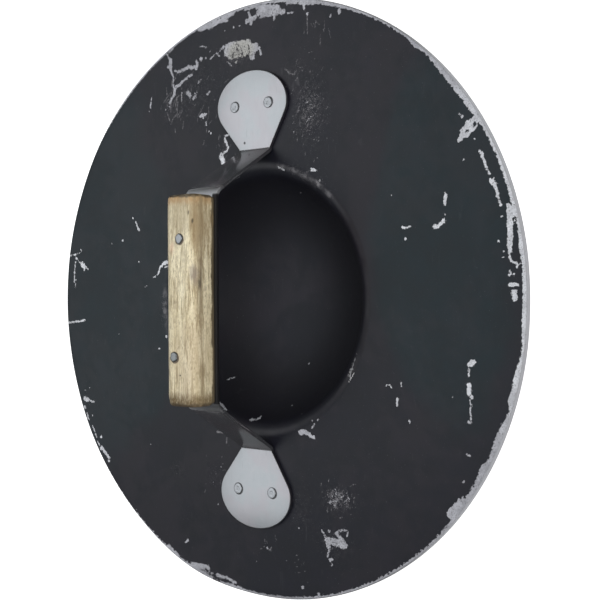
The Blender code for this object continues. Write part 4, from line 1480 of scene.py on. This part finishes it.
# %% [markdown]
# ## Table, light and camera
#
# The shield lies on a plain white table. A soft box on the left, where the flat faces mirror it, gives
# paint and steel their even tone. A dim one overhead opens up the hollow. Two more boxes stand right and
# left of the camera and light the wood; they leave no glare, as if they had polarising sheets on. Two
# black cards lean just beyond the rim and keep the white table out of the steep legs of the strap, which
# mirror it.
# The camera stands where the photographer's stood, above the right edge of the shield.

# %% Set up the table
floor = start_piece("floor", bpy.ops.mesh.primitive_plane_add, size=6.0, location=(0, 0, -0.02 * MM))
shader, place = new_finish("white table", floor)
seen_directly = add_node("ShaderNodeLightPath", {}, "Is Camera Ray", place.socket.id_data)
feed(
    shader, Base_Color=(0.8, 0.8, 0.8, 1.0), Roughness=0.8,
    Emission_Color=blend(seen_directly, (0, 0, 0), (1, 1, 1)), Emission_Strength=0.85,
)

# %% Lean the black cards just beyond the rim
CARD_NEAR = (170 * MM, 20 * MM)
CARD_FAR = (360 * MM, 85 * MM)
CARD_WIDTH = 0.6
card_out = CARD_FAR[0] - CARD_NEAR[0]
card_up = CARD_FAR[1] - CARD_NEAR[1]
cards = []
for side, name in ((-1, "lower"), (1, "upper")):
    middle = (-0.15, side * (CARD_NEAR[0] + CARD_FAR[0]) / 2, (CARD_NEAR[1] + CARD_FAR[1]) / 2)
    card = start_piece("black_card_" + name, bpy.ops.mesh.primitive_plane_add, size=1.0, location=middle)
    card.scale = (CARD_WIDTH, math.hypot(card_out, card_up), 1.0)
    card.rotation_euler = (side * math.atan2(card_up, card_out), 0, 0)
    card.visible_camera = False
    card.visible_diffuse = False
    card.visible_shadow = False
    cards.append(card)
shader, place = new_finish("black card", *cards)
feed(shader, Base_Color=(0.02, 0.02, 0.02, 1.0), Roughness=0.9)

# %% Set up the lights
world = bpy.data.worlds.new("studio air")
bpy.context.scene.world = world
world.use_nodes = True
world.node_tree.nodes["Background"].inputs["Color"].default_value = (0.96, 0.98, 1.0, 1.0)
world.node_tree.nodes["Background"].inputs["Strength"].default_value = 0.14


def soft_box(name, place, size, radiance, colour=(1.0, 1.0, 1.0), glare=True):
    """A rectangular soft light that faces the shield. Without glare it isn't seen in reflections."""
    light = bpy.data.lights.new(name, "AREA")
    light.shape = "RECTANGLE"
    light.size = size[0]
    light.size_y = size[1]
    light.color = colour
    light.energy = radiance * math.pi * size[0] * size[1]
    box = bpy.data.objects.new(name, light)
    bpy.context.scene.collection.objects.link(box)
    box.location = place
    box.rotation_euler = (-Vector(place)).to_track_quat("-Z", "Y").to_euler()
    box.visible_glossy = glare
    print(name, "gives", round(light.energy, 1), "W")
    return box


soft_box("left_soft_box", (-0.65, 0.05, 0.89), (1.26, 1.00), 0.76, (0.95, 1.0, 1.04))
soft_box("top_soft_box", (0.42, 0.0, 1.15), (0.5, 0.95), 0.95)
soft_box("upper_right_soft_box", (0.75, 0.90, 0.93), (0.9, 0.9), 4.6, (1.0, 0.99, 0.97), glare=False)
soft_box("lower_right_soft_box", (0.75, -0.90, 0.93), (0.9, 0.9), 4.6, (1.0, 0.99, 0.97), glare=False)

# %% Set up the camera
CAMERA_PLACE = (0.361178, -0.0000754, 0.446690)
CAMERA_BACK = Vector((0.62791, 0.00094, 0.77829)).normalized()
CAMERA_UP = Vector((0.003815, 1.0, -0.004284))
across = CAMERA_UP.cross(CAMERA_BACK).normalized()
upward = CAMERA_BACK.cross(across)
turn = Matrix((across, upward, CAMERA_BACK)).transposed().to_4x4()
camera = bpy.data.objects.new("camera", bpy.data.cameras.new("camera"))
bpy.context.scene.collection.objects.link(camera)
camera.data.lens = 65.0586
camera.data.sensor_width = 36
camera.matrix_world = Matrix.Translation(CAMERA_PLACE) @ turn
bpy.context.scene.camera = camera
bpy.context.scene.view_settings.view_transform = "Standard"
